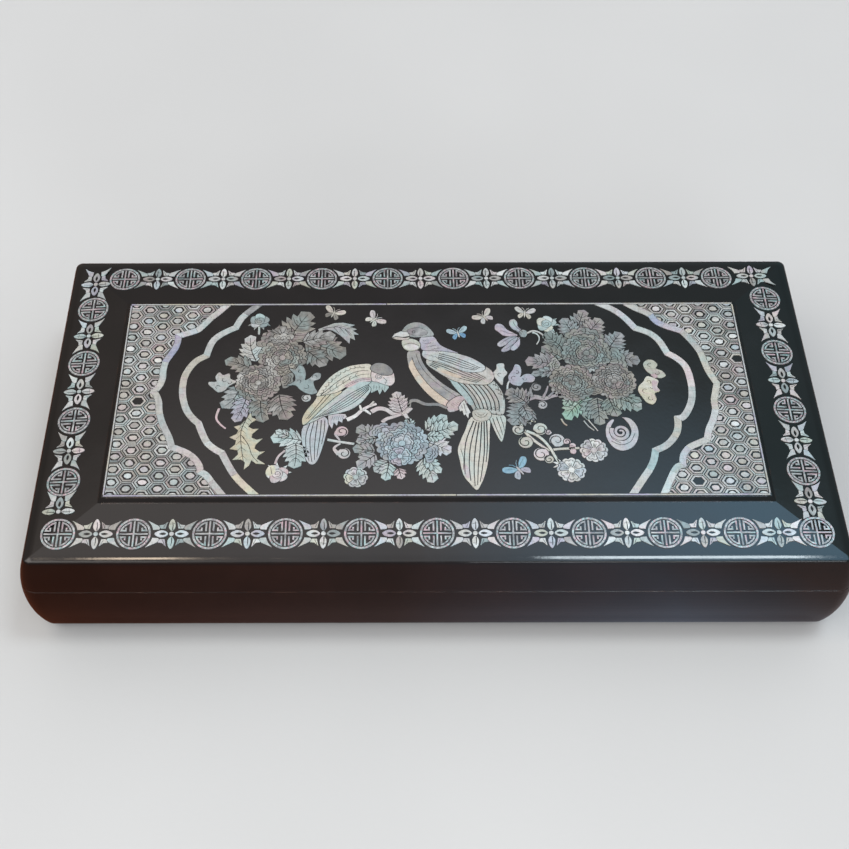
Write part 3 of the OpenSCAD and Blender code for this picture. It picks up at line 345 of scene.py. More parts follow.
def bird_right():
    art = Layers("bird_right")
    # tail
    tail = blob([(14.2, -11.2), (11.8, -17), (9.8, -22), (8.5, -26.6), (9.1, -31.4), (9.8, -36),
        (10.6, -38.8), (12.3, -41.4), (14.9, -44.7), (16.7, -42), (18.1, -38.5), (19.5, -33), (20.4, -26),
        (20.9, -18), (20.9, -11.8)], 3)
    art.piece(tail, "cream", 0.35)
    art.patch([(10.2, -33.4), (12.2, -34.4), (13, -37.6), (12.2, -39.4), (10.9, -38.4)], "pink")
    for line in ([(15, -13), (11.9, -22), (10.9, -30), (10.9, -37.6)],
            [(16.1, -13.4), (13.5, -24), (12.6, -33), (12.9, -40.6)],
            [(17.1, -13.6), (15.3, -25), (14.4, -34), (14.4, -43)],
            [(18.1, -13.6), (17, -26), (16, -34), (15.4, -42.4)],
            [(19, -13.4), (18.6, -26), (17.6, -34), (16.4, -41)], [(20, -13), (19.8, -24), (19, -32)]):
        art.line(line, 0.5, 0.3, n=6)
    art.line([(9.6, -26), (10.6, -31), (10.2, -35.6)], 0.2)
    side_tail = blob([(21.3, -10.6), (21.9, -14), (23.2, -18.4), (25.2, -22.7), (26.4, -19.4), (27.2, -15),
        (27.4, -11.4), (25, -9.4)], 4)
    art.piece(side_tail, "cream", 0.35)
    art.line([(22.4, -11.6), (23.6, -16.6), (25.2, -21.4)], 0.36, 0.2)
    art.line([(23.9, -11.2), (25, -15.6), (25.9, -19.8)], 0.36, 0.2)
    art.line([(25.4, -11), (26.3, -14.8), (26.6, -17.6)], 0.3, 0.2)
    # breast, in a warm band and a grey one
    breast = blob([(-9.8, 21.6), (-5.6, 21.9), (-4.8, 18), (-3, 13.6), (-0.4, 9.6), (3.2, 5.6), (7.4, 2),
        (10.4, -0.6), (9.8, -4), (7.4, -6.4), (5, -6.2), (1.4, -3.8), (-2.6, 0.5), (-6.3, 6), (-8.9, 11.8),
        (-10.1, 17)], 4)
    art.piece(breast, "grey", 0.35)
    art.patch([(-9.7, 14.6), (-8.9, 11.6), (-6.3, 6), (-2.6, 0.5), (1.4, -3.8), (4.8, -6), (6.8, -4.6),
        (3.4, -1.2), (-0.6, 3), (-4, 8), (-6.6, 13), (-8.2, 17.4)], "peach", n=4)
    art.line([(-8.4, 18.6), (-6.9, 13.4), (-4.2, 8.2), (-0.8, 3.2), (3.2, -1), (7, -4.4)], 0.24, n=5)
    art.line([(-6.8, 20.6), (-5.4, 15.4), (-2.9, 10.6), (0.4, 6.4), (4.6, 2.4), (8.6, -1)], 0.18, n=5)
    # thigh and claws
    art.round([(4.9, -5), (7.6, -2), (10.6, -0.8), (13.2, -3.2), (11.6, -5.8), (8.4, -8), (5.6, -8.4)],
        "pink", 0.3)
    barbs(art, (6, -5), (12, -2.6), 7, -62, 1.9)
    art.piece([(9.4, -6.4), (10.6, -4.2), (11.8, -2.8), (12.5, -5.2), (14, -8.8), (13.3, -9.4), (13, -11.7),
        (12, -9.7), (11.4, -10.2), (10.9, -8), (9.9, -8.2)], "white", 0.3)
    art.engrave([(11.5, -4.4), (11.9, -7), (12.4, -9)], 0.22, 0.16)
    art.engrave([(10.6, -5.4), (10.9, -7)], 0.2, 0.14)
    # wing: the long feathers first, then the shorter rows that lie on them
    long_a, long_b = ([(20.6, 7), (24.6, 2), (26.8, -4), (26.4, -9.4)],
        [(4.6, 9.6), (9, 4.4), (12.8, -1.4), (15.2, -7.4)])
    art.round([(4.4, 9.8), (8.8, 4.4), (12.4, -0.6), (14, -4.8), (15.8, -8.6), (18.6, -9.8), (21.4, -9.2),
        (24, -9.8), (26.7, -9.6), (27.5, -5), (26.9, 0), (24.8, 5), (21, 8.6), (12, 9.8)], "warmsilver", 0.35)
    art.patch([(6.6, 7.6), (11, 5.2), (14, 0.6), (15.4, -4.6), (13.6, -5), (11.4, -1.2), (8, 3.8)], "aqua",
        n=4)
    feather_lines(art, long_a, long_b, 8, 0.5, 0, 0.93)
    for k in range(5):
        p = between(np.array((21.4, 9.4)), np.array((26, -2)), k / 5)
        art.line([p, p + (1.9, -0.9), p + (2, -3.2)], 0.34, 0.2, n=3)
    for f in (0.12, 0.31, 0.5, 0.69, 0.88):
        m = between(np.array(long_a[-1], float), np.array(long_b[-1], float), f)
        art.arc(m, 1.15, 200, 28, 5, 0.22)
    for c in ((17.4, -6.6), (20.4, -6.4), (23.8, -6.2)):
        for r in (0.8, 1.6):
            art.arc(c, r, 180, 30, 6, 0.2)
    art.round([(14.8, -8.4), (17.4, -7.4), (20.4, -7.6), (22, -9.8), (20.6, -12.4), (17.6, -13),
        (15.2, -11.8)], "cream", 0.25)
    for r in (1.4, 2.5):
        art.arc((18, -8.8), r, 196, 30, 5, 0.2)
    # second row
    art.round([(-2.6, 15.4), (2, 11), (6.6, 7.6), (11, 5.6), (15.8, 5), (20.8, 4.8), (23.4, 7), (23.8, 10),
        (21, 13.6), (14, 16.4), (6, 18.4), (-1, 18.8)], "warmsilver", 0.32)
    feather_lines(art, [(0, 18.4), (8, 16.4), (16, 12.4), (22.4, 7.6)],
        [(-2.4, 14.6), (3.4, 10.6), (10, 7), (17.4, 5.2)], 7, 0.46, 0.05, 0.96)
    art.patch([(1.4, 12.4), (5, 10), (9.6, 8), (11, 9), (6.6, 11), (3, 13.4)], "peach")
    # shoulder
    art.round([(-4.2, 19.6), (-1.6, 17.2), (2.4, 16.4), (7.6, 13.8), (12.4, 11.4), (16.4, 11), (19.6, 11.6),
        (20.4, 14), (15.6, 18), (10, 20.4), (5.4, 22.4), (0, 22.8), (-3.4, 22.4)], "aquasilver", 0.28)
    feather_lines(art, [(2, 21.6), (8, 19.8), (14, 17), (19.2, 13.6)],
        [(1, 17.4), (6, 15), (11, 12.6), (15.8, 11.6)], 5, 0.44, 0.05, 0.98)
    for i in range(5):
        p = np.array([-2.6 + 1.5 * i, 20.6 - 0.5 * i])
        art.arc(p, 0.8, 210, 24, 5, 0.18)
    # neck and back, mottled with small arcs
    art.round([(-4.6, 28.9), (-0.8, 29.6), (1, 28.6), (3, 25), (6.6, 22.6), (10, 20.8), (4.4, 21.8),
        (-1.4, 22.2), (-4.2, 22.6), (-5.2, 25.6)], "lilac", 0.28)
    for i in range(4):
        for j in range(3):
            p = np.array([-3.2 + 1.9 * i + 0.6 * j, 27.6 - 1.3 * i - 1.6 * j])
            if p[0] < 6:
                art.arc(p, 0.55, 200, 40, 4, 0.16)
    # throat, beak, head
    art.round([(-12, 27.4), (-9, 28.3), (-6.2, 27.2), (-4.9, 25), (-5.9, 22.8), (-8.8, 21.9), (-11.3, 23.1),
        (-12.3, 25.4)], "creamgreen", 0.28)
    art.line([(-11.4, 25.2), (-8.4, 25.9), (-5.4, 24.6)], 0.26)
    art.patch([(-11.2, 24.6), (-8.4, 25.5), (-5.6, 24.2), (-6.4, 22.9), (-8.8, 22.3), (-10.8, 23.2)], "white")
    art.round([(-12.2, 31.2), (-11.6, 33.6), (-9.7, 35.9), (-6.6, 36.9), (-3.4, 36), (-0.8, 33.2),
        (0.6, 30.4), (-1.2, 29.5), (-4.6, 29.2), (-8.4, 29.3)], "greyaqua", 0.3)
    art.round([(-10.2, 32.4), (-7, 34), (-3.8, 33.4), (-1.9, 31.2), (-4.6, 29.8), (-8, 30.2)], "grey", 0.16)
    art.arc((-7.6, 31.9), 0.6, 0, 45, 8, 0.2)
    art.piece([(-16.3, 29), (-15.2, 30.8), (-12.8, 32.1), (-10, 31.6), (-9.2, 29.8), (-12, 29.2),
        (-14.6, 29.7)], "white", 0.22)
    art.piece([(-16, 28.8), (-14.4, 29.2), (-11, 28.6), (-9.2, 29.1), (-9.8, 27.9), (-12.4, 27.7),
        (-14.6, 28)], "cream", 0.2)
    return art


def bird_left():
    art = Layers("bird_left")
    # tail
    art.round([(-49.7, -14.2), (-51, -18), (-50.4, -24), (-49.3, -29.4), (-48.1, -32), (-46.4, -33),
        (-44.8, -31.6), (-43.3, -27), (-41.8, -20), (-40.8, -13.6), (-43, -10.6), (-46.6, -11.6)],
        "bluewhite", 0.35)
    for line in ([(-47.8, -13.4), (-49.2, -19), (-49, -26), (-47.7, -31.4)],
            [(-46.4, -13), (-47.6, -20), (-47.4, -26), (-46.6, -31.8)],
            [(-45, -12.6), (-45.6, -20), (-45.8, -26), (-45.6, -31)],
            [(-43.6, -12.4), (-43.8, -19), (-44.4, -25), (-44.8, -29.6)],
            [(-42.2, -12.6), (-42.4, -18), (-43.2, -23.6)]):
        art.line(line, 0.36, 0.24, n=5)
    # loose feathers under the wing, and the feet
    art.piece([(-41, -10.2), (-37.6, -9.4), (-34.4, -9.6), (-33.6, -11.4), (-35.3, -11.9), (-35.6, -13.6),
        (-37, -12.6), (-37.6, -15), (-38.8, -13.4), (-39.4, -16.4), (-40.8, -14)], "bluewhite", 0.3)
    barbs(art, (-39.6, -10.6), (-34.6, -10.2), 6, -110, 2)
    art.strip([(-33.8, -12.2), (-30.6, -10.4), (-28.2, -7.8), (-25.4, -5.8), (-22.4, -4.6)], 1.7, 0.9,
        "white", 0.28)
    art.strand([(-28.2, -7.8), (-28.9, -5.2)], 1.1, 0.7, "white", 0.1)
    art.strip([(-27, -7.4), (-25.4, -8.8), (-24.6, -9.6)], 1, 0.6, "white", 0.1, n=3)
    art.strand([(-25, -5.4), (-23.4, -3.4)], 0.9, 0.6, "white", 0.1)
    # wing
    art.round([(-24.2, 6.6), (-29, 6.6), (-34, 3), (-39, -2), (-44, -7.6), (-48, -11.8), (-50.8, -14.9),
        (-46.4, -12.8), (-42, -10.2), (-37, -9), (-32, -7), (-28, -3.4), (-25.4, 0.6), (-24, 3.6)], "aqua",
        0.3)
    feather_lines(art, [(-25.6, 5.6), (-33, 1.4), (-41, -5.8), (-49, -13.6)],
        [(-25.4, 2), (-29.4, -3.6), (-35, -7.4), (-42, -9.6)], 6, 0.34, 0.03, 0.96)
    art.round([(-44.6, 0.4), (-46.6, -3.4), (-49.6, -8), (-51, -12), (-50.2, -14.6), (-46.6, -10.6),
        (-43, -6), (-39, -1.6), (-36, 1.6), (-39.6, 3)], "gold", 0.3)
    feather_lines(art, [(-44.2, -0.6), (-46.8, -5.6), (-50, -11.8)],
        [(-38.4, 0.4), (-42.4, -4.6), (-48, -11.6)], 3, 0.32)
    # back in two rows of overlapping feathers
    art.round([(-24.6, 14.6), (-29, 15), (-34, 13.8), (-38.8, 10.6), (-42.6, 6.2), (-45.2, 1.4),
        (-45.6, -0.6), (-41.6, 0.2), (-37.6, 1.4), (-33.4, 4.6), (-29, 6.8), (-24.4, 7)], "creamgold", 0.3)
    rim = curve([(-26.6, 14.5), (-31, 14.4), (-36, 12), (-40.4, 8), (-43.4, 3.4), (-45.2, 0)], 5)
    for i in range(2, len(rim) - 1, 2):
        d = rim[i + 1] - rim[i - 1]
        a = math.degrees(math.atan2(d[1], d[0]))
        art.arc(rim[i], 1.25, a + 10, 26, 5, 0.24)
    for f, w in ((0.42, 0.3), (0.7, 0.24)):
        art.engrave(between(rim, curve([(-24.8, 8.4), (-28.4, 7.6), (-32.4, 5.2), (-36.4, 2.2), (-39.6, 0.6),
            (-43, -0.6)], 5), f), w)
    for i in range(5):
        p = np.array([-29.4 - 2.5 * i, 9.6 - 1.7 * i])
        art.arc(p, 1.3, 110, 25, 5, 0.22)
    art.patch([(-24.4, 8), (-28, 8.4), (-31.4, 7.2), (-35, 4.4), (-33, 3.6), (-29, 6), (-25, 6.6)], "pink")
    feather_lines(art, [(-25, 9), (-30, 8), (-36, 4.2)], [(-25, 6.8), (-29, 6.2), (-34, 3.2)], 3, 0.2)
    # beard, face and head
    art.piece([(-25.6, 4.8), (-24, 6.6), (-21.4, 6), (-18, 5), (-17.6, 3.4), (-19.2, 1), (-20, 2.6),
        (-21.2, 0), (-22, 2.4), (-23.2, 1.6), (-24.6, 0.8), (-24.4, 3)], "aqua", 0.25)
    barbs(art, (-24, 4.6), (-18.6, 3.6), 5, -84, 1.9)
    art.round([(-24.2, 11.6), (-20.4, 10.6), (-16.4, 11.4), (-15.4, 8.6), (-15.5, 6), (-17, 4.5), (-19.4, 5),
        (-22, 6.2), (-24.2, 7)], "pinkwhite", 0.28)
    for r in (0.7, 1.3):
        art.arc((-21.6, 8.9), r, 0, 30, 12, 0.2)
    art.line([(-19.8, 8.4), (-18.6, 7), (-19, 5.4)], 0.24)
    art.round([(-24.8, 13.6), (-23, 15.5), (-20.2, 15.6), (-17.7, 14.2), (-16.1, 11.8), (-16.6, 9.9),
        (-19.6, 9.6), (-22.4, 10.6), (-24.4, 12)], "grey", 0.25)
    return art


def branch():
    art = Layers("branch")
    tone = "pinkwhite"
    art.strip([(-24.4, -8.4), (-21.6, -6.8), (-18.6, -7.4), (-15.6, -9.6), (-11.6, -9.2), (-8.8, -6.6)], 1.9,
        1.3, tone, n=5)
    art.strip([(-20.2, -13.4), (-18.4, -11.8), (-15.6, -10.8), (-12.8, -9.6)], 1.5, 1.1, tone, 0.15)
    art.strip([(-11.6, -9.4), (-10.2, -12), (-9.8, -14)], 1.6, 1, tone, 0.15)
    art.strip([(-9.8, -6.4), (-9.4, -3.6), (-7, -3), (-3.4, -4.8), (1.6, -5), (5, -6.8)], 1.5, 1.2, "grey",
        0.2, n=5)
    art.strip([(36.2, -2.4), (39.4, -1.4), (43, -2.2), (46.4, -1), (50.2, -0.2)], 2.4, 0.9, "grey", n=5)
    art.strip([(38.4, -1.4), (37.8, 1.6), (38.8, 4.4)], 1.2, 0.8, "grey", 0.15)
    scroll(art, (40.2, 3.6), 1.9, 20, "grey")
    scroll(art, (42, -5.2), 1.9, 200, "grey", -1)
    art.strip([(42.4, -2), (44, 1.4), (44.8, 4)], 1.1, 0.5, "grey", 0.15)
    art.strip([(44.6, -1.4), (46.6, 0.8), (48, 1.6)], 0.9, 0.4, "grey", 0.15)
    return art


def flowers_left():
    art = Layers("peony_left")
    dark, light = "greycream", "dullcream"
    for shape in (
            ((-58, 27), (-49.8, 42.6), 13, dark, 8, 0.5), ((-59, 27), (-62.4, 35), 9, dark, 5),
            ((-51, 26), (-34.6, 20), 13, dark, 8, 0.6), ((-52, 27), (-39, 30.4), 8, dark, 6),
            ((-50, 22), (-42.4, 14.6), 8.6, dark, 5), ((-70.4, 17), (-73.4, 30.4), 8.6, "silver", 7, 1),
            ((-72, 13), (-83, 17.4), 7.6, dark, 6, -0.6), ((-76, 4), (-82.4, -6.4), 9, "greyaqua", 6, 1.4),
            ((-73, -1), (-77, -13.2), 7.6, "lilac", 7, 0.4), ((-67.6, -1), (-66, -13.4), 9, dark, 7, -0.4),
            ((-60.4, 0), (-56.6, -12.2), 10.4, dark, 7, -0.6), ((-62, 31), (-69, 29), 6, dark, 4)):
        leaf(art, *shape)
    petal(art, (-60, 22), 140, 5, 11.6, 26, dark, 3, 2)
    petal(art, (-60, 22), 90, 5, 9.4, 30, light, 3, 2)
    peony(art, (-60, 18.6), 9.8, dark, light, 12)
    peony(art, (-69, 6), 9.2, dark, light, 40)
    petal(art, (-61, 8.4), -20, 1.2, 6, 50, dark, 3, 2)
    art.strip([(-83.4, -6.6), (-84.2, -11), (-82.6, -14), (-80.2, -16.2)], 0.9, 0.6, "pink", 0.2)
    tufts(art, [(-88.4, 5.2), (-86.6, 3.4), (-84.4, 1.4), (-82, 2.2), (-80.2, 4.6), (-77.6, 6.6), (-80, 8),
        (-80.6, 10.6), (-83, 9.8), (-84.6, 11.2), (-86, 9), (-85.4, 6.6), (-88.2, 6.4)], "silver",
        ((-84.6, 3.8, 0.9, 20), (-82.4, 7.4, 0.9, 120), (-80.2, 6.2, 0.7, 200)))
    tufts(art, [(-57, 13), (-54.6, 12.6), (-53.4, 14.6), (-51.4, 13.8), (-50.4, 10.4), (-50.6, 7.2),
        (-48.6, 8.4), (-46.8, 10.6), (-44.6, 10.4), (-44.8, 8), (-47.2, 6.6), (-46.6, 3.4), (-45.6, 1.2),
        (-47.8, 0.2), (-50.2, 1), (-52.6, 2.8), (-54.4, 4.8), (-57.6, 4.6), (-54.6, 6.8), (-54.8, 10)],
        "greyaqua", ((-52.6, 11.6, 0.8, 100), (-50, 4, 1, 220), (-47, 9, 0.8, 0), (-53, 6.6, 0.8, 300)))
    scroll(art, (-49.8, -1.6), 1.8, 60, "silver")
    return art


def sprays_left():
    art = Layers("leaves_left")
    # golden plume
    spine = curve([(-71.4, -8.8), (-73, -13), (-74.2, -18), (-73.6, -25), (-72, -34)], 5)
    outline = [(-71, -8.6), (-70.4, -11), (-68.6, -12), (-70.6, -13.6), (-71.6, -15.4), (-69.8, -16.6),
        (-67.6, -16.4), (-69.8, -18.8), (-70, -20.6), (-68, -21.6), (-65.8, -21), (-68.2, -23.8),
        (-68.6, -25.6), (-66.6, -27.2), (-64.6, -27), (-67, -29), (-67.4, -30.4), (-64.2, -32.8),
        (-67.6, -32.6), (-69.4, -31), (-70.2, -33.4), (-72, -35.2), (-71.8, -32), (-73.4, -30.6),
        (-76.6, -30.8), (-74.6, -28.4), (-75, -26.4), (-78, -25.8), (-76, -23.8), (-75.8, -21.8),
        (-78.4, -20.4), (-76, -19), (-75.2, -17.2), (-77, -15.4), (-74.6, -14.6), (-73, -12.4)]
    art.piece(outline, "gold", 0.35)
    art.engrave(spine, 0.36, 0.22)
    art.line([(-73.6, -20), (-71, -24), (-69.4, -28.6), (-67, -31.8)], 0.3, 0.2, n=5)
    for i in range(3, len(spine) - 3, 2):
        art.engrave([spine[i], spine[i] + np.array([-1.7, -1.9])], 0.22, 0.14)
        art.engrave([spine[i], spine[i] + np.array([1.9, -1.9])], 0.22, 0.14)
    # leaf of five points at the upper middle
    art.piece([(-46.2, 33.4), (-43, 35), (-39.6, 36.6), (-36, 36.8), (-31.4, 35.6), (-33.4, 34.6),
        (-30.6, 33.4), (-32.2, 32.6), (-29.8, 30.6), (-31.8, 30.6), (-31.2, 27.8), (-33.2, 28.8),
        (-33.4, 25.8), (-35.6, 28.4), (-37.6, 30.6), (-40.4, 32.8), (-43.2, 33.4), (-45.8, 32.4)],
        "aquasilver", 0.3)
    art.line([(-44.4, 33.6), (-39.6, 34.6), (-35.4, 33.4), (-32.4, 30)], 0.34, 0.2, n=5)
    for p in ((-40, 34.6), (-37.6, 34.4), (-35.4, 33.4)):
        art.engrave([p, (p[0] + 3.4, p[1] + 1)], 0.24, 0.16)
        art.engrave([p, (p[0] + 2.4, p[1] - 3.6)], 0.24, 0.16)
    leaf(art, (-50.8, -22), (-62.8, -20.4), 8.4, "teal", 6, -0.4)
    leaf(art, (-56, -20), (-61, -17.2), 3.6, "teal", 4)
    leaf(art, (-53, -23.4), (-53.2, -34.8), 9, "teal", 7, 0.4)
    art.strip([(-60.4, -32.8), (-59.4, -29.4), (-57, -26.6)], 0.9, 0.7, "pink", 0.2)
    return art


def flowers_centre():
    art = Layers("peony_centre")
    for shape in (
            ((-23, -20), (-30, -15.8), 7.4, "greyaqua", 6), ((-22.6, -21), (-30.2, -22.6), 5, "greyaqua", 5),
            ((-23, -27), (-31.4, -25.6), 6.4, "greyaqua", 6),
            ((-22.6, -28.6), (-29.6, -34.2), 7, "greyaqua", 6), ((-18, -32), (-23.2, -36.4), 5.6, "aqua", 5),
            ((-17.6, -32.6), (-19, -40.4), 6, "aqua", 6), ((-14, -35), (-12.8, -39.8), 4.4, "pink", 4),
            ((-5, -31), (-1, -41.4), 8, "aqua", 7, 0.6), ((-4, -30), (2, -37), 5, "aqua", 5),
            ((-3.4, -17), (4.8, -10.2), 6.6, "aqua", 6), ((-1.6, -18.4), (9, -14.6), 8.4, "aqua", 7, -0.4),
            ((-3, -23), (6, -27.6), 8.4, "bluewhite", 7, 0.4), ((-3, -20), (3.4, -20.6), 4.6, "aqua", 5),
            ((-9, -15.6), (-10.6, -11.6), 4, "aqua", 4),
            ((-12.4, -8.8), (-14.8, 1.4), 7.6, "pinkwhite", 8, 0.2)):
        leaf(art, *shape)
    petal(art, (-19, -20), 130, 1, 6.4, 50, "greyblue", 3, 2)
    petal(art, (-5, -27), -20, 1.4, 6.2, 52, "greyblue", 3, 2)
    peony(art, (-12.6, -23.4), 10.2, "greyblue", "blueaqua", 20)
    small_flower(art, (-13.4, -29.4), 4.4, ("blueaqua", "lilac"), 30, 5)
    return art


def flowers_right():
    art = Layers("peony_right")
    dark, light = "greygreen", "greycream"
    for shape in (
            ((58, 31), (62.4, 43.4), 9, "grey", 8), ((57, 30), (53.2, 39), 8, "grey", 7),
            ((63, 31), (68.8, 38.6), 8.6, "grey", 7), ((54, 22), (45.6, 31.4), 10, dark, 8, 0.6),
            ((52, 18), (43.6, 24), 7.6, dark, 6), ((50.4, 14), (36.6, 16.6), 9.6, "grey", 8, -0.6),
            ((49, 12), (38.6, 9.8), 4.6, "grey", 5), ((70, 22), (76.2, 31.2), 9.4, "grey", 8, 0.2),
            ((72, 18), (82.4, 16.4), 8.6, "grey", 7, 0.4), ((60, -1), (50.4, -12.2), 9.4, "green", 8, -0.8),
            ((53, -2), (50.6, -6), 4, "green", 4), ((62, -2), (58.6, -12.6), 7.4, "greengrey", 6),
            ((63.6, -2), (63.4, -15.2), 8.6, "greygreen", 8), ((68, -2), (70.6, -11), 8, "greengrey", 7),
            ((70, -1.6), (80.4, -7.4), 8.4, "greengrey", 7, 0.6),
            ((74, -1), (80.8, -3.6), 4, "greengrey", 4)):
        leaf(art, *shape)
    petal(art, (61, 24), 60, 4, 10, 32, dark, 3, 2)
    petal(art, (61, 24), 115, 4, 10, 32, dark, 3, 2)
    petal(art, (68, 16), 20, 2, 9, 44, dark, 3, 2)
    petal(art, (52, 14), 170, 2, 6, 44, dark, 3, 2)
    peony(art, (61.4, 20.6), 10, dark, "greygreen", 0)
    peony(art, (54.4, 5.6), 9.2, light, "greycream", 25)
    peony(art, (71, 6.2), 8.8, light, "greycream", 50)
    petal(art, (62.6, 4), -90, 0.6, 4.6, 60, light, 3, 2)
    for y in (0, 1.1, 2.2):
        art.line([(79, 13.4 - y), (81.4, 12.4 - y), (83, 9.6 - y)], 0.2)
    return art


def sprays_right():
    art = Layers("leaves_right")
    # the lilac plume with two curls
    for p in ([(36.4, 30.6), (33, 33), (31.4, 35.4), (31.6, 37.6), (33.4, 38.4), (34.6, 36.8), (34.8, 34.4),
            (36.6, 32)], [(34.4, 30), (30.4, 32.8), (28.4, 35.6), (26, 35.8), (25.4, 33.4), (27, 31.6),
            (28.6, 30), (31.4, 29.4)], [(34, 29.4), (30.6, 29), (27.8, 27.4), (26, 25.4), (27, 24),
            (29, 24.8), (31.4, 26.6)], [(34.4, 29), (31.4, 27), (29.4, 24.6), (27.4, 22.2), (28.6, 21.4),
            (31, 22.6), (33, 25.6)], [(35, 29), (33.6, 26.4), (31.2, 23), (32.8, 22.2), (35, 25)]):
        art.round(p, "lilac", 0.22)
    art.patch([(31.6, 36.6), (33.4, 38.2), (34.4, 36.8), (34, 34.6), (32.2, 34.8)], "teal")
    art.round([(38.4, 31.6), (36.8, 32.8), (35.2, 31.6), (35.6, 29.4), (37.6, 29.2)], "greyaqua", 0.2)
    for s in ([(36, 31), (32, 33.4), (28, 34.4)], [(36, 30.6), (31.6, 30.8), (27.6, 32.6)],
            [(35.6, 29.8), (31, 28.4), (27.6, 25.6)], [(35.8, 29.2), (33, 25.8), (29.4, 22.8)],
            [(36.6, 31.6), (34, 34.6), (33, 37)]):
        art.line(s, 0.28, 0.16)
    art.strip([(38.2, 31), (40.6, 32.2), (43, 31.6), (45, 29.4), (45.6, 26.6)], 0.75, 0.5, "silver", 0.2, n=6)
    art.strip([(40.4, 31.4), (42, 30.8), (43, 29), (42.8, 27), (41.8, 25.2)], 0.6, 0.4, "silver", 0.15, n=6)
    # rocks by the wing
    tufts(art, [(23.6, 10.2), (25, 12.6), (25.4, 15), (28, 15.2), (28.2, 12.6), (29.2, 10.4), (27.6, 8),
        (27, 4.6), (25.2, 6.6)], "silver", ((26.2, 9.6, 0.8, 60),))
    tufts(art, [(30, 6), (29.6, 9), (31.4, 12), (32.6, 14.8), (34.4, 14), (34.8, 11), (34.2, 8.4), (36, 9.8),
        (38.4, 9.8), (40, 8), (38.8, 6), (35.6, 6), (34, 4.2), (31.6, 4.6)], "lilac",
        ((31.6, 8, 0.9, 40), (36, 7.6, 0.8, 160), (33, 11, 0.8, 250)))
    art.strip([(28.8, 1.6), (29, 4.4), (29.8, 6.6)], 0.8, 0.5, "silver", 0.15)
    # two leaves by the wing
    leaf(art, (36.4, -4.8), (28.4, 2), 9, "grey", 8, -0.4)
    leaf(art, (36, -5.4), (29.4, -14.8), 11, "grey", 8, 0.6)
    leaf(art, (34.6, -6), (36.6, -12.6), 5, "grey", 5, 0)
    # yellow and white flowers at the right
    tufts(art, [(80, 1.4), (80.6, 4), (82.4, 6), (84, 8.6), (86.4, 8), (88.4, 6.4), (87.6, 3.6), (88.4, 1.4),
        (86.2, 0.2), (86.6, -2.6), (85.2, -5), (83, -4.4), (81.6, -2.4)], "yellow",
        ((82.6, 1.4, 1, 40), (85.6, 3.4, 0.9, 200), (84.4, -2.2, 0.9, 120), (84.6, 5.8, 0.8, 300)))
    art.patch([(86, 6.6), (88.2, 6), (87.4, 3.8), (88.2, 1.6), (86.2, 1.4), (85.6, 4)], "pink")
    tufts(art, [(84, 12), (83.4, 15), (85.4, 17), (87.6, 16.6), (89, 14.6), (88.2, 12.6), (90.4, 11.4),
        (91.6, 9), (89.4, 7.8), (87.2, 8.6), (85.6, 10)], "creamgreen",
        ((86, 14.4, 0.9, 60), (88.4, 10.4, 0.9, 200)))
    art.patch([(85.8, 9.6), (87.6, 9.8), (88.4, 8.4), (87, 7.9)], "pink")
    art.strip([(58.2, -10.8), (60, -14), (62.4, -17.8)], 0.5, 0.3, "silver", 0.15)
    art.strip([(57.4, -13), (59, -15.6), (61, -17.6)], 0.4, 0.25, "silver", 0.12)
    art.strip([(48.8, -12), (49.6, -14), (50.8, -15.2)], 0.6, 0.4, "peach", 0.15)
    return art


def buds():
    art = Layers("buds")
    art.strand([(-70.2, 35), (-70.1, 30.8)], 0.8, 0.8, "aqua", 0.15)
    round_bud(art, (-70.2, 37.8), 4, ("greyaqua", "aqua", "greyaqua"), 90)
    round_bud(art, (-59.4, -37.2), 4.2, ("pinkwhite", "pink", "white"), 250)
    art.patch([(-63.6, -35.6), (-62.4, -33.6), (-60.4, -33.8), (-60.2, -36.6), (-61.8, -38.2),
        (-63.6, -37.6)], "yellow")
    art.engrave([(-62, -34.2), (-61.4, -37.4)], 0.22)
    small_flower(art, (-30, -38.8), 4.6, ("aqua", "bluewhite", "creamgreen"), 50, 5)
    round_bud(art, (46.4, 36), 4.2, ("aqua", "creamgreen", "aqua"), 150)
    art.strip([(47.6, 32.6), (49.2, 31), (50.4, 29.6)], 0.6, 0.4, "aqua", 0.12, n=3)
    for a in (150, 180, 210):
        m = np.array([54.4, -26]) + 2.6 * at(a)
        art.disc(m, 1.2, "pink", 0.2, 40)
    small_flower(art, (60, -26.8), 5.4, ("pinkwhite", "white", "bluewhite"), 18, 6)
    for a in (120, 160, 200, 240):
        tip = np.array([47.4, -33.4]) + 3.6 * at(a)
        art.piece([np.array([47.4, -33.4]) + 1 * at(a - 60), tip, np.array([47.4, -33.4]) + 1 * at(a + 60)],
            "white", 0.15)
    small_flower(art, (50.8, -35.8), 5.5, ("white", "white", "bluewhite"), 40, 6)
    return art


def butterflies():
    art = Layers("butterflies")
    for c, turn, s, tones in (((-40.2, 41.8), -24, 3, ("cream", "greycream", "cream")),
            ((-23.6, 38.4), -48, 3, ("pinkwhite", "cream", "cream")),
            ((10.4, 31), 14, 2.9, ("blueaqua", "blue", "silver")),
            ((21.4, 39.6), 34, 3, ("cream", "silver", "cream")),
            ((38, 41.6), -8, 2.9, ("silver", "cream", "cream")),
            ((31.2, -35.6), 36, 3.7, ("lightblue", "lilac", "pink"))):
        butterfly(art, c, turn, s, tones)
    return art


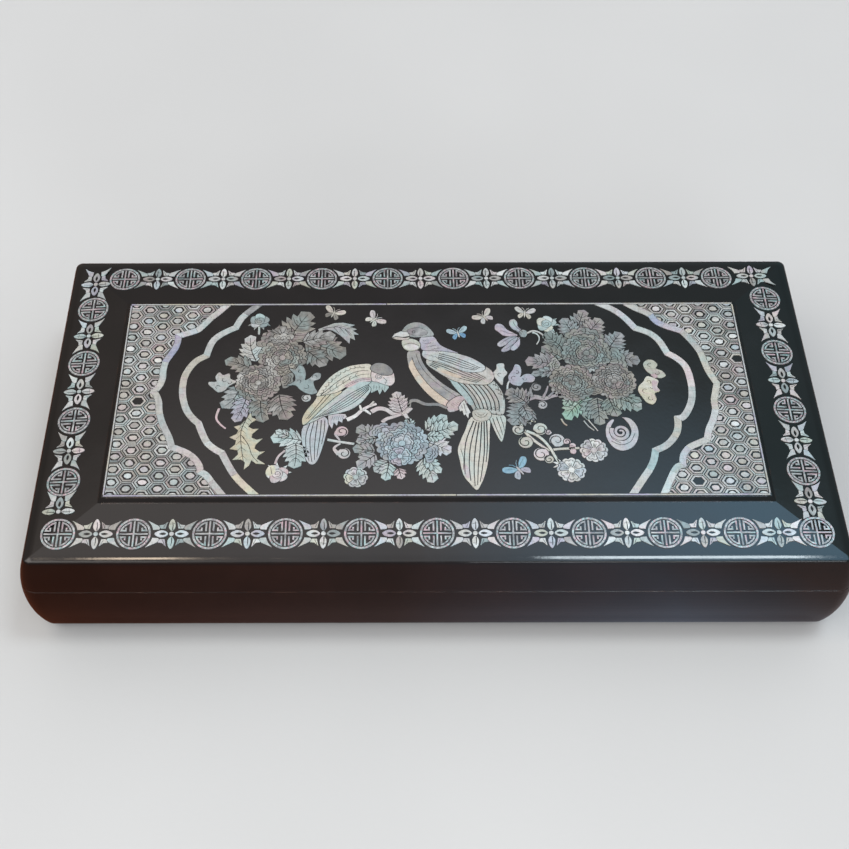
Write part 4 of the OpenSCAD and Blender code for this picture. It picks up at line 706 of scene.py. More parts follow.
def tendrils():
    art = Layers("tendrils")
    art.strip([(-41, -21.6), (-36.4, -22.6), (-30.8, -23.6)], 1, 0.9, "silver")
    scroll(art, (-35.6, -17.8), 2.4, 250, "pink", 1, [(-36.6, -17), (-38, -19), (-36.2, -22)])
    scroll(art, (-34.6, -28), 2.4, 120, "pinkwhite", -1, [(-36.6, -28.4), (-38.4, -25.6), (-36, -23.4)])
    stem = "cream"
    art.strip([(32.6, -13.4), (34, -17), (36.2, -20.6), (40, -24.4), (43, -26.6), (47, -26.2), (54.6, -25.8)],
        1.1, 0.9, stem, n=6)
    art.strip([(35, -17.8), (38.6, -19.6), (41.4, -22.4), (43.6, -26), (45, -29.4), (46.6, -33)], 1.1, 0.9,
        stem, n=6)
    scroll(art, (32, -17.2), 2.3, 20, "cream", -1)
    scroll(art, (40.4, -16.8), 2.7, 200, "cream", 1)
    scroll(art, (43.4, -18.2), 1.3, 0, "pink", 1)
    scroll(art, (34.4, -23), 2.7, 80, "creamgreen", 1)
    scroll(art, (46.4, -22.2), 2.9, 240, "pinkwhite", -1)
    scroll(art, (50.2, -22.8), 1.3, 240, "pink", 1)
    scroll(art, (40, -28.6), 2.9, 60, "pinkwhite", 1)
    scroll(art, (42.8, -31), 1.7, 90, "cream", 1)
    art.strip([(35.6, -13.6), (37.6, -13), (38.8, -13.4)], 0.7, 0.4, "yellow", 0.12, n=3)
    return art


def spiral_shell():
    art = Layers("spiral_shell")
    c = np.array([71, -18.4])
    outer = blob([(75.4, -12.2), (77.6, -16), (77.4, -21), (75, -25.2), (71, -27), (67.4, -25.2),
        (65.4, -20.6), (65.8, -15.6), (67.8, -12.8), (69, -12.8), (67.6, -15.6), (67.2, -18.6), (68.6, -21.4),
        (71.4, -22.6), (74, -21), (75.2, -18), (74.6, -14.8), (73, -12), (72.4, -11.4)], 4)
    art.piece(outer, "lilacwhite", 0.3)
    art.strand([c + (3.6 - 0.105 * k) * np.array([1, 1.05]) * at(150 + 24 * k) for k in range(30)], 1.5, 0.6,
        "lilacwhite", 0.22)
    art.line([(67, -22.6), (70.6, -24.4), (74.4, -22.8), (76.4, -19)], 0.3, 0.2, n=5)
    art.line([(66.6, -18), (67.6, -21.4), (70.4, -23.4)], 0.22, n=5)
    return art


def trimmed(p, limit):
    """The part of an outline between y = -limit and y = limit."""
    for s in (1, -1):
        kept = []
        for a, b in zip(p, [*p[1:], p[0]]):
            if s * a[1] <= limit:
                kept.append(a)
            if (s * a[1] <= limit) != (s * b[1] <= limit):
                kept.append(between(a, b, (s * limit - a[1]) / (b[1] - a[1])))
        p = kept
    return p


BAND_W = 2.7


def scalloped_band(art, side, stretches, tones):
    """A strip of shell in arcs that meet at corners, jointed at each corner and half way along each arc."""
    line, joints = [], [0]
    for k, stretch in enumerate(stretches):
        start = [stretches[k - 1][-1]] if k else []
        arc = list(curve(start + stretch, 5))
        line += arc[1:] if k else arc
        joints += [(joints[-1] + len(line) - 1) // 2, len(line) - 1]
    line = np.array(line) * (side, 1)
    walk = np.diff(line, axis=0)
    walk /= np.hypot(walk[:, 0], walk[:, 1])[:, None]
    edges = []
    for i in range(len(line)):
        a, b = walk[max(i - 1, 0)], walk[min(i, len(walk) - 1)]
        mean = (a + b) / np.hypot(*(a + b))
        edges.append(np.array([-mean[1], mean[0]]) * BAND_W / 2 / max(float(mean @ a), 0.6))
    left, right = line + edges, line - edges
    luck = random.Random(len(line))
    for k in range(len(joints) - 1):
        i, j = joints[k], joints[k + 1] + 1
        part = trimmed([*left[i:j], *right[i:j][::-1]], FIELD[1])
        if len(part) > 2:
            art.piece(part, tones[k] if luck.random() < 0.8 else "silver", 0.07)
    return left if left[0][0] * side > right[0][0] * side else right


# The mosaic: its cells, and how far in from a cell's edge its ring begins and ends
CELL = 5.85
RING_OUT, RING_IN = 0.55, 1.14
NET_HALF_W = 0.23
HEART = (1.6, 1.3)
RING_SHEETS = ("warmsilver", "silver", "warmgrey", "silver", "pinkgrey", "warmsilver", "grey")
HEART_SHEETS = ("warmsilver", "silver", "white", "silver", "pinkwhite", "warmsilver", "bluewhite", "silver",
    "warmsilver", "cream")


def cell(c, inset):
    """A flat-topped hexagon of the mosaic."""
    h, s = CELL / 2 - inset, 1 - 2 * inset / CELL
    point, flat = 0.67 * CELL * s, 0.33 * CELL * s
    return [c + np.array(q) for q in ((-point, 0), (-flat, -h), (flat, -h), (point, 0), (flat, h),
        (-flat, h))]


def mosaic(side, outer_edge):
    """Hexagon cells, each a ring with an uneven heart, between the outer band and the end of the panel."""
    art = Layers("mosaic_left" if side < 0 else "mosaic_right")
    luck = random.Random(6 - side)
    edge = outer_edge[::-1]
    last_column = FIELD[0] + 0.45 - 0.35 * CELL
    centres = [np.array([side * (last_column - i * CELL), (j + i % 2 / 2) * CELL]) for i in range(9)
        for j in range(-9, 9)]
    for c in centres:
        reach = np.interp(c[1], edge[:, 1], np.abs(edge[:, 0])) - 5
        if abs(c[0]) < reach or abs(c[1]) > FIELD[1] + 3:
            continue
        corners = cell(c, 0)
        net = luck.choice(("warmgrey", "silver", "greycream"))
        for a, b in zip(corners[:3], corners[1:4]):
            d = (b - a) / np.hypot(*(b - a))
            off = np.array([-d[1], d[0]]) * NET_HALF_W
            a, b = a + d * 0.12, b - d * 0.12
            art.paint([a - off, b - off, b + off, a + off], net)
        ring, ring_sheet, cut = cell(c, RING_OUT), luck.choice(RING_SHEETS), luck.randrange(6)
        art.paint(ring, ring_sheet)
        art.paint(cell(c, RING_IN), None)
        art.engrave([c, c + 1.3 * (ring[cut] - c)], 0.14)
        if luck.random() < 0.02:  # a heart here and there is lost
            continue
        heart = []
        for angle in (35, 90, 145, 180, 215, 270, 325, 360):
            wide = HEART[0] * luck.uniform(0.76, 1.1)
            heart.append(c + at(angle) * (wide, HEART[1] * luck.uniform(0.76, 1.08)))
        art.patch(heart, luck.choice(HEART_SHEETS), 2)
    # the mosaic stops at the outer band and at the edges of its field
    side_painted_reflection = np.array([side * -0.2, 0])
    art.paint([*(edge + side_painted_reflection), (0, edge[-1][1] + 4), (0, edge[0][1] - 4)], None)
    for s in (-1, 1):
        art.paint([(s * FIELD[0], -60), (s * 200, -60), (s * 200, 60), (s * FIELD[0], 60)], None)
        art.paint([(-200, s * FIELD[1]), (200, s * FIELD[1]), (200, s * 60), (-200, s * 60)], None)
    return art


# The middle lines of the bands, at the left-hand end and the right-hand end: a list for each arc, the first
# point of which is the last of the arc before. x is the distance from the middle of the panel.
OUTER = ([[(83, 48), (87, 43), (90, 39.8)], [(93.3, 35.2), (95.4, 33), (100.4, 30.9), (102.6, 30.1)],
    [(102.6, 27.3), (103.3, 23.7), (105, 20.1), (106.5, 16.6), (107, 12.3), (106.9, 8), (107.9, 4.4),
    (109.7, 1.6)], [(108.6, 0.1), (107.2, -3.4), (106.6, -7.7), (105.4, -12), (103.6, -16.3), (101.5, -20.6),
    (100.1, -24.9)], [(97.6, -25.9), (94, -27.7), (91.1, -30.2), (89, -33.4), (88.4, -36.3)],
    [(86.1, -37.7), (84, -40.6), (81.9, -43.4), (78.4, -48)]],
    [[(78.6, 48), (83.3, 44.4), (86.9, 42.3), (89.4, 40.5)],
    [(91.1, 37.3), (94, 35.1), (97.6, 33.4), (100.8, 32)],
    [(102.6, 29.4), (104.7, 25.9), (106.9, 20.9), (107.9, 15.9), (109, 10.9), (111.3, 5)],
    [(110.1, 0.9), (109, -3.4), (108.8, -7.7), (107.2, -12.7), (105.1, -17), (103.6, -22)],
    [(99.7, -23.8), (96.1, -25.9), (93.6, -29.5), (92.9, -33.6)],
    [(90.8, -34.5), (89, -37), (87.2, -40.6), (83.6, -48)]])
INNER = ([[(69.8, 48), (74.7, 43), (77.6, 39.4), (79.7, 34.4)],
    [(83.3, 32.3), (86.9, 29.4), (89, 25.9), (90.4, 19.8)],
    [(94, 17.3), (96.5, 13.7), (98.1, 9.4), (98.5, 5.1), (98.3, 0.9), (97.4, -3.4), (95.8, -7.7),
    (93.3, -11.3), (90.8, -13.8)], [(89, -18.4), (86.9, -22.7), (84, -25.6), (80.8, -27.7)],
    [(78.3, -32.7), (75.4, -37.7), (71.9, -42), (66, -48)]],
    [[(66.6, 48), (71.9, 45.1), (75.4, 42.6), (78.6, 39.1), (82.2, 33.6)],
    [(86.1, 31.9), (89, 29.8), (91.5, 26.2), (93.6, 20.5)],
    [(96.9, 18), (99.7, 14.4), (100.8, 10.1), (101.1, 5.1), (100.9, 0.9), (100.1, -3.4), (98.3, -7.7),
    (95.8, -11.3), (93.6, -12)], [(93.3, -15.6), (92.2, -19.1), (89.7, -22.7), (86.9, -25.2), (83.3, -27)],
    [(82.2, -31.3), (80.1, -35.6), (77.2, -39.9), (71.8, -48)]])
OUTER_TONES = (("silver", "lilacwhite", "silver", "bluewhite", "bandlilac", "peach", "cream", "silver",
    "pinkwhite", "pinkwhite", "silver", "silver"), ("silver", "silver", "bandlilac", "lilacwhite", "silver",
    "cream", "cream", "silver", "silver", "lilacwhite", "aqua", "silver"))
INNER_TONES = (("grey", "silver", "silver", "warmgrey", "cream", "silver", "pinkwhite", "silver", "bluewhite",
    "yellow"), ("silver", "lilacwhite", "silver", "silver", "pinkwhite", "silver", "cream", "silver", "aqua",
    "silver"))


def end_ground(side):
    """The scalloped bands and the mosaic of one end of the panel, as (art, slot)."""
    k, end = (0, "left") if side < 0 else (1, "right")
    outer, inner = Layers("outer_band_" + end), Layers("inner_band_" + end)
    edge = scalloped_band(outer, side, OUTER[k], OUTER_TONES[k])
    scalloped_band(inner, side, INNER[k], INNER_TONES[k])
    return [(outer, "shell_silver"), (inner, "shell_silver"), (mosaic(side, edge), "shell_cream")]


# ------------------------------------------------------------------ blossoms of the border
# Here x runs along a side of the box, from the middle, and y inwards from its edge, in millimetres.

# From one roundel to the next, the clear ring round each, and how far in from its edge each row stands
ROUNDEL_PITCH = 27.8
ROUNDEL_CLEAR = 7.25
ROW_IN = {"front": 11.6, "back": 10.2, "left": 10.4, "right": 11.6}
BLOSSOM_SHEETS = ("silver", "silver", "white", "aqua", "pinkwhite", "lilac", "warmgrey", "creamgreen",
    "bluewhite", "silver", "greyaqua")


def blossom(art, c, luck, cut=0, short=0):
    """Four petals, a round heart and four horns in two parts.

    The side cut (-1 or 1) has nothing on it, and the side short has short horns."""
    c = np.array(c, float)

    def put(points, side, over):
        return [c + np.array((side * x, over * y)) for x, y in points]

    for side in (-1, 1):
        if side == cut:
            continue
        tip_a = 146 if side == short else 131
        arc = [np.array((ROUNDEL_PITCH / 2, 0)) + ROUNDEL_CLEAR * at(a) for a in np.linspace(tip_a, 167, 5)]
        # a horn on each side of the row: its root along the roundel and its leaf
        for over in (-1, 1):
            k = luck.uniform(0.94, 1.04)
            leaf_tip = (1.7, 5.1 * k)
            art.piece(put([*arc, (4.7, 1.8), (4.3, 2.5), (5.1, 3.5 * k)], side, over),
                luck.choice(BLOSSOM_SHEETS), 0.12)
            art.piece(put([(4.75, 3.5), (3.2, 3.7), leaf_tip, (2.1, 3.4), (2.3, 2.2), (4.1, 2.15)], side,
                over), luck.choice(BLOSSOM_SHEETS), 0.12)
            art.engrave(put([(2.3, 4.3), (3.1, 2.5)], side, over), 0.2)
        # a hollow petal along the row
        art.piece(put(blob([(1.2, 0), (2.4, 1.15), (4, 1.4), (5.6, 0.75), (6.2, 0), (5.6, -0.75), (4, -1.4),
            (2.4, -1.15)], 3), side, 1), luck.choice(BLOSSOM_SHEETS), 0.3)
        art.paint(put(blob([(1.9, 0), (3.1, 0.55), (4.6, 0), (3.1, -0.55)], 3), side, 1), None)
    # the petals across the row
    for over in (-1, 1):
        art.piece(put(blob([(0, 1.15), (1.05, 2.3), (1.2, 3.6), (0.8, 5.2), (0, 6.1), (-0.8, 5.2),
            (-1.2, 3.6), (-1.05, 2.3)], 3), 1, over), luck.choice(BLOSSOM_SHEETS), 0.3)
        art.engrave(put([(0.25, 1.6), (0.3, 3.4), (0.1, 4.8)], 1, over), 0.42, 0.2)
        if luck.random() < 0.6:
            art.engrave(put([(-0.9, 3.9), (0.9, 4.2)], 1, over), 0.18)
    art.disc(c, 0.85, luck.choice(("white", "silver", "pinkwhite", "silver")), 0.25)


def blossom_row(side, turn, seed, ends, past=()):
    """The blossoms of one side, half way between its roundels, and those that stand past the last of them.

    ends are the middles of the first and last roundel. A blossom past them is given as its place in steps
    of the row (before the first if negative), how much further in it stands, its cut side and its short
    side."""
    start, stop = ends
    steps = round(abs(stop - start) / ROUNDEL_PITCH)
    step = (stop - start) / steps
    art, luck = Layers("blossoms_" + side), random.Random(seed)
    for k in range(steps):
        blossom(art, (start + (k + 0.5) * step, ROW_IN[side]), luck)
    for place, further_in, cut, short in past:
        end = start if place < 0 else stop
        blossom(art, (end + place * step, ROW_IN[side] + further_in), luck, cut, short)
    off = HALF_D if turn % 180 == 0 else HALF_W
    spin = np.array(Matrix.Rotation(math.radians(turn), 3, "Z")).T

    def seat(verts):
        """From the flat border to its place on the box."""
        x, y, h = verts[:, 0], verts[:, 1], verts[:, 2]
        return np.column_stack([x, y - off, h + BORDER_Z + y * math.tan(BORDER_FALL)]) @ spin

    return art, seat


def blossom_rows():
    """The blossoms of all four sides, each as (art, seat)."""
    w, d = HALF_W / MM, HALF_D / MM
    front = ROW_IN["front"]
    return (
        blossom_row("front", 0, 1, (front - w, w - front)),
        blossom_row("back", 180, 2, (w - 21.5, 30 - w), [(0.54, -1, 0, 0)]),
        blossom_row("left", -90, 3, (27 - d, d - 34.5), [(-0.49, -0.8, 0, 0), (0.46, 0, 1, 0)]),
        blossom_row("right", 90, 4, (d - 22, 38.5 - d), [(0.47, 0, 0, -1)]),
    )


# ------------------------------------------------------------------ shell tiles
# The smallest tile that is kept, in square millimetres, and how far corners that only touch are drawn apart
LEAST_TILE = 0.03
APART = 0.02


def first_of(parent, i):
    """The first member of the group that i belongs to."""
    while parent[i] != i:
        parent[i] = parent[parent[i]]
        i = parent[i]
    return i


def tiles(art, low, high):
    """Closed tiles of shell for the shapes of art, as vertices, faces and a tone for each face."""
    coords, loops = [], []
    for p, _ in art.shapes:
        loops.append(list(range(len(coords), len(coords) + len(p))))
        coords += [Vector(q) for q in p]
    verts, _, tris, _, _, owners = delaunay_2d_cdt(coords, [], loops, 1, 1e-4, True)
    verts = np.array([(v.x, v.y) for v in verts])
    kept, tones = [], []
    for tri, own in zip(tris, owners):
        tone = art.shapes[max(own)][1] if own else None
        if tone is None or len(tri) != 3:
            continue
        a, b, c = verts[tri[0]], verts[tri[1]], verts[tri[2]]
        turn = (b[0] - a[0]) * (c[1] - a[1]) - (b[1] - a[1]) * (c[0] - a[0])
        kept.append(tuple(tri) if turn > 0 else tuple(tri[::-1]))
        tones.append(tone)
    # corners that meet across a shared edge are one vertex; a mere touch at a point is not
    parent = list(range(3 * len(kept)))
    edges = {}
    for t, tri in enumerate(kept):
        for k in range(3):
            edges.setdefault(frozenset((tri[k], tri[(k + 1) % 3])), []).append((t, k))
    for pair in edges.values():
        if len(pair) == 2:
            (t, k), (u, j) = pair
            parent[first_of(parent, 3 * t + k)] = first_of(parent, 3 * u + (j + 1) % 3)
            parent[first_of(parent, 3 * t + (k + 1) % 3)] = first_of(parent, 3 * u + j)
    # triangles joined by their edges are one tile, and the smallest tiles are left out
    group = list(range(len(kept)))
    for pair in edges.values():
        if len(pair) == 2:
            group[first_of(group, pair[0][0])] = first_of(group, pair[1][0])
    size = {}
    for t, tri in enumerate(kept):
        tile = first_of(group, t)
        size[tile] = size.get(tile, 0) + abs(area(verts[list(tri)]))
    wanted = [t for t in range(len(kept)) if size[first_of(group, t)] > LEAST_TILE]
    number, places, around, at_point = {}, [], [], {}
    for t in wanted:
        middle = verts[list(kept[t])].mean(0)
        for k in range(3):
            root = first_of(parent, 3 * t + k)
            if root not in number:
                number[root] = len(places)
                places.append(verts[kept[t][k]])
                around.append([])
                at_point.setdefault(kept[t][k], set()).add(root)
            around[number[root]].append(middle)
    places = np.array(places)
    for roots in at_point.values():
        if len(roots) > 1:
            for root in roots:
                i = number[root]
                away = np.mean(around[i], 0) - places[i]
                places[i] += away / max(np.hypot(*away), 1e-9) * APART
    count = len(places)
    faces, looks = [], []
    for t in wanted:
        top = [number[first_of(parent, 3 * t + k)] for k in range(3)]
        faces += [tuple(i + count for i in top), tuple(top[::-1])]
        looks += [tones[t], tones[t]]
        for k in range(3):
            if len(edges[frozenset((kept[t][k], kept[t][(k + 1) % 3]))]) == 1:
                a, b = top[k], top[(k + 1) % 3]
                faces.append((a, b, b + count, a + count))
                looks.append(tones[t])
    flat = np.vstack([np.column_stack([places * MM, np.full(count, low)]),
        np.column_stack([places * MM, np.full(count, high)])])
    return flat, faces, looks


def inlay(art, body, nodes_replaced, seat=None):
    """One piece of inlay: all tiles of a motif, riding on body in place of its CAD nodes."""
    low = 0.0 if seat else PANEL_Z
    verts, faces, looks = tiles(art, low, low + SHELL_T)
    verts = seat(verts) if seat else verts
    mesh = bpy.data.meshes.new(art.name)
    mesh.from_pydata(verts.tolist(), [], faces)
    names = sorted(set(looks))
    for tone in names:
        mesh.materials.append(shell_tone(tone))
    mesh.polygons.foreach_set("material_index", [names.index(tone) for tone in looks])
    piece = bpy.data.objects.new("inlay_" + art.name, mesh)
    scene.collection.objects.link(piece)
    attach(piece, body)
    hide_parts(*nodes_replaced)
    return piece


# ------------------------------------------------------------------ materials


def rgb(r, g, b):
    """A colour given in 0 to 255 steps, as linear light with full alpha."""
    linear = [c / 3294.6 if c <= 10.31 else ((c / 255 + 0.055) / 1.055) ** 2.4 for c in (r, g, b)]
    return (*linear, 1.0)


class Nodes:
    """Short names for the nodes that a material or the world is made of."""

    def __init__(self, owner):
        owner.use_nodes = True
        self.nodes = owner.node_tree.nodes
        self.links = owner.node_tree.links

    def put(self, socket, value):
        if isinstance(value, bpy.types.NodeSocket):
            self.links.new(value, socket)
        else:
            socket.default_value = value

    def new(self, kind, inputs=(), **settings):
        node = self.nodes.new(kind)
        for key, value in settings.items():
            setattr(node, key, value)
        for key, value in dict(inputs).items():
            self.put(node.inputs[key], value)
        return node

    def sum(self, a, b, kind="ADD"):
        """The result of any sum on plain values."""
        node = self.new("ShaderNodeMath", operation=kind)
        self.put(node.inputs[0], a)
        self.put(node.inputs[1], b)
        return node.outputs[0]

    def scaled(self, value, low, high, out_low, out_high):
        return self.new("ShaderNodeMapRange", {"Value": value, "From Min": low, "From Max": high,
            "To Min": out_low, "To Max": out_high}).outputs["Result"]

    def ramp(self, value, stops):
        node = self.new("ShaderNodeValToRGB", {"Fac": value})
        elements = node.color_ramp.elements
        while len(elements) < len(stops):
            elements.new(0.5)
        for element, (position, colour) in zip(elements, stops):
            element.position = position
            element.color = colour
        return node.outputs["Color"]

    def blend(self, a, b, factor, kind="MIX"):
        node = self.new("ShaderNodeMix", data_type="RGBA", blend_type=kind)
        self.put(node.inputs["Factor"], factor)
        self.put(node.inputs["A"], a)
        self.put(node.inputs["B"], b)
        return node.outputs["Result"]

    def vector(self, kind, a, b=None, scale=None):
        """The result of a vector sum, and a plain value for a DOT_PRODUCT."""
        given = {0: a, 1: b, "Scale": scale}
        node = self.new("ShaderNodeVectorMath", {k: v for k, v in given.items() if v is not None},
            operation=kind)
        return node.outputs["Value" if kind == "DOT_PRODUCT" else "Vector"]


class Surface(Nodes):
    """A material: its Principled BSDF and the textures that feed it."""

    def __init__(self, name):
        self.material = bpy.data.materials.new(name)
        super().__init__(self.material)
        self.shader = self.nodes["Principled BSDF"]
        self.where = self.new("ShaderNodeTexCoord").outputs["Object"]

    def placed(self, scale=(1, 1, 1), turn=(0, 0, 0)):
        return self.new("ShaderNodeMapping", {"Vector": self.where, "Scale": scale,
            "Rotation": [math.radians(a) for a in turn]}).outputs["Vector"]

    def noise(self, scale, detail=2.0, rough=0.5, where=None):
        return self.new("ShaderNodeTexNoise", {"Vector": where or self.where, "Scale": scale,
            "Detail": detail, "Roughness": rough}).outputs["Fac"]

    def island(self):
        return self.new("ShaderNodeNewGeometry").outputs["Random Per Island"]

    def luck(self, socket, times=1.0):
        """A random value or colour of its own for each tile."""
        key = self.island() if times == 1.0 else self.sum(self.island(), times, "MULTIPLY")
        return self.new("ShaderNodeTexWhiteNoise", {"W": key}, noise_dimensions="1D").outputs[socket]

    def normal(self):
        return self.new("ShaderNodeNewGeometry").outputs["Normal"]

    def bump(self, height, distance, strength=1.0, normal=None):
        node = self.new("ShaderNodeBump", {"Height": height, "Distance": distance, "Strength": strength})
        if normal is not None:
            self.put(node.inputs["Normal"], normal)
        return node.outputs["Normal"]

    def tilted(self, amount):
        """The surface's normal, leaning a little another way on each tile."""
        lean = self.vector("SUBTRACT", self.luck("Color"), (0.5, 0.5, 0.5))
        return self.vector("NORMALIZE", self.vector("ADD", self.normal(),
            self.vector("SCALE", lean, scale=amount)))

    def shade(self, **values):
        """Sets inputs of the shader, with _ for each space in a name, and gives back the material."""
        for key, value in values.items():
            self.put(self.shader.inputs[key.replace("_", " ")], value)
        return self.material


# Colours of shell in 0 to 255 steps. Those in VIVID keep more of their colour than the others
TONES = {
    "silver": (205, 208, 207),
    "white": (233, 236, 235),
    "grey": (142, 142, 146),
    "warmgrey": (172, 166, 162),
    "pinkgrey": (186, 166, 166),
    "bandlilac": (176, 180, 208),
    "warmsilver": (192, 188, 180),
    "dullcream": (160, 154, 143),
    "cream": (214, 209, 194),
    "greycream": (134, 129, 122),
    "gold": (222, 206, 166),
    "creamgold": (222, 216, 196),
    "creamgreen": (202, 208, 188),
    "peach": (216, 190, 164),
    "pink": (216, 182, 188),
    "pinkwhite": (224, 210, 212),
    "lilac": (184, 178, 200),
    "lilacwhite": (206, 204, 216),
    "bluewhite": (200, 210, 222),
    "aqua": (182, 208, 208),
    "aquasilver": (182, 196, 199),
    "greyaqua": (150, 164, 166),
    "greyblue": (150, 166, 182),
    "blueaqua": (174, 202, 218),
    "teal": (186, 212, 212),
    "greengrey": (138, 154, 144),
    "greygreen": (128, 138, 134),
    "green": (146, 182, 160),
    "yellow": (228, 220, 184),
    "blue": (104, 156, 206),
    "lightblue": (140, 188, 216),
}
VIVID = ("blue", "lightblue", "bandlilac", "green")
# The colours that play over a piece, whatever its own tone
PEARL = {
    "silver": (204, 206, 206),
    "white": (232, 234, 234),
    "grey": (142, 144, 148),
    "cream": (214, 208, 190),
    "pink": (220, 184, 194),
    "lilac": (190, 182, 210),
    "aqua": (176, 212, 212),
}


def pearly(s, colour, lean=0.10, uneven=0.22):
    """Finishes a shell surface: growth lines, small pits, a tile that leans and a thin clear coat."""
    lines = s.noise(1.0, 4.0, 0.6, s.placed((260, 1500, 200), (0, 0, 34)))
    cross = s.noise(1.0, 3.0, 0.6, s.placed((1300, 320, 200), (0, 0, 20)))
    grain = s.sum(lines, cross, "MULTIPLY")
    colour = s.blend(colour, s.ramp(grain, [(0.12, rgb(196, 196, 196)), (0.26, rgb(240, 240, 240)),
        (0.4, rgb(255, 255, 255))]), 0.7, "MULTIPLY")
    colour = s.blend((0, 0, 0, 1), colour, s.scaled(s.luck("Value", 37.0), 0, 1, 1 - uneven, 1.0))
    height = s.sum(grain, s.scaled(s.noise(2400, 2), 0.3, 0.7, 0, 0.3))
    return s.shade(
        Base_Color=colour,
        Metallic=0.12,
        Roughness=s.scaled(s.noise(420, 3), 0.3, 0.7, 0.2, 0.42),
        Coat_Weight=0.6,
        Coat_Roughness=0.06,
        Normal=s.bump(height, 0.0001, 0.6, s.tilted(lean)),
    )


def hues(s, spread=1.0, cloud_scale=75):
    """A value from 0 to 1 that drifts over the shell and jumps from tile to tile."""
    cloud = s.scaled(s.noise(cloud_scale, 3, 0.55), 0.3, 0.7, 0, 1)
    return s.sum(s.sum(cloud, s.sum(s.island(), spread, "MULTIPLY")), 1.0, "MODULO")


tone_cache = {}


def shell_tone(tone):
    """The material of one tone of shell in the pictures."""
    if tone not in tone_cache:
        s = Surface("shell_" + tone)
        plain = sum(TONES[tone]) / 3
        kept = 0.95 if tone in VIVID else 0.68
        own = [plain + kept * (c - plain) for c in TONES[tone]]

        def towards(other, f):
            return rgb(*[(1 - f) * c + f * k for c, k in zip(own, PEARL[other])])

        base, pale, cool = rgb(*own), towards("white", 0.5), towards("aqua", 0.36)
        warm, rosy = towards("cream", 0.36), towards("pink", 0.3)
        colour = s.ramp(hues(s, 0.4, 55), [(0.0, base), (0.2, pale), (0.36, base), (0.52, cool), (0.66, base),
            (0.8, warm), (0.9, rosy), (1.0, base)])
        tone_cache[tone] = pearly(s, colour)
    return tone_cache[tone]


def shell_mixed(name, names, spread, cloud_scale=75, lean=0.1, uneven=0.22):
    """Shell cut from many sheets: the hues of names follow one another over the surface."""
    s = Surface(name)
    stops = [(i / len(names), rgb(*PEARL[n])) for i, n in enumerate(names)]
    colour = s.ramp(hues(s, spread, cloud_scale), [*stops, (1.0, rgb(*PEARL[names[0]]))])
    return pearly(s, colour, lean, uneven=uneven)


def near(s, value, middle, reach):
    """1 within half of reach from the middle value, falling to 0 at reach."""
    return s.scaled(s.sum(s.sum(value, middle, "SUBTRACT"), 0, "ABSOLUTE"), reach / 2, reach, 1, 0)


# The radius of the lacquer's edges, how far in from the edge of the box its top begins and stops to roll
# over, and how much it leans there
EDGE_R = 0.0007
ROLL_FROM, ROLL_TO = 0.0042, 0.0002
ROLL_LEAN = 0.26


def lacquer():
    """Black lacquer, brown where it is rubbed and with a painted brown reflection on its sides, with soft
    edges drawn in the shading.
    """
    s = Surface("black_lacquer")
    place = s.new("ShaderNodeSeparateXYZ", {0: s.where}).outputs
    width, depth, height = (s.sum(place[axis], 0, "ABSOLUTE") for axis in "XYZ")
    top = s.scaled(height, CREASE_Z - 0.0012, CREASE_Z - 0.0004, 0, 1)
    # the sides are browner than the top: a painted reflection, the warm brown the sides mirror painted into
    # their colour
    cloud = s.noise(28, 3, 0.55)
    above = s.ramp(cloud, [(0.3, rgb(14, 12, 12)), (0.7, rgb(22, 18, 18))])
    side_painted_reflection = s.ramp(cloud, [(0.3, rgb(20, 13, 11)), (0.7, rgb(34, 20, 16))])
    colour = s.blend(side_painted_reflection, above, top)
    # edges are rounded, save where two boards meet flush under one coat of lacquer
    flush = s.sum(near(s, height, LID_BOARD_Z, 0.0016), near(s, s.sum(width, depth, "SUBTRACT"), OFF_SQUARE,
        0.0024), "MAXIMUM")
    soft = s.new("ShaderNodeBevel", {"Radius": EDGE_R}, samples=4).outputs["Normal"]
    flat = s.normal()
    rounded = s.new("ShaderNodeMix", {"Factor": flush}, data_type="VECTOR")
    s.put(rounded.inputs["A"], soft)
    s.put(rounded.inputs["B"], flat)
    rounded = rounded.outputs["Result"]
    edge = s.vector("DOT_PRODUCT", rounded, flat)
    rubbed = s.sum(s.scaled(edge, 0.995, 0.9, 0, 1), s.scaled(s.noise(160, 4, 0.6), 0.45, 0.66, 0.05, 0.8),
        "MULTIPLY")
    colour = s.blend(colour, rgb(74, 44, 30), rubbed)
    # the border rolls over towards the edge of the box
    rolls = []
    for size, half, axis in ((width, HALF_W, "X"), (depth, HALF_D, "Y")):
        roll = s.new("ShaderNodeMapRange", {"Value": size, "From Min": half - ROLL_FROM,
            "From Max": half - ROLL_TO, "To Min": 0, "To Max": ROLL_LEAN}, interpolation_type="SMOOTHERSTEP")
        outwards = s.sum(place[axis], 0, "SIGN")
        rolls.append(s.sum(s.sum(roll.outputs["Result"], top, "MULTIPLY"), outwards, "MULTIPLY"))
    lean = s.new("ShaderNodeCombineXYZ", {"X": rolls[0], "Y": rolls[1]}).outputs[0]
    rolled = s.vector("NORMALIZE", s.vector("ADD", rounded, lean))
    smudge = s.scaled(s.noise(55, 5, 0.65), 0.42, 0.68, 0.05, 0.16)
    scratch = s.scaled(s.noise(1.0, 2, 0.5, s.placed((60, 3000, 60), (0, 0, 12))), 0.66, 0.74, 0, 0.08)
    peel = s.bump(s.noise(700, 2), 0.00002, 0.35, rolled)
    wave = s.bump(s.noise(34, 1), 0.0006, 0.12, peel)
    return s.shade(
        Base_Color=colour,
        Roughness=s.sum(smudge, s.sum(scratch, s.scaled(rubbed, 0, 1, 0, 0.2))),
        Specular_IOR_Level=0.6,
        Normal=wave,
    )


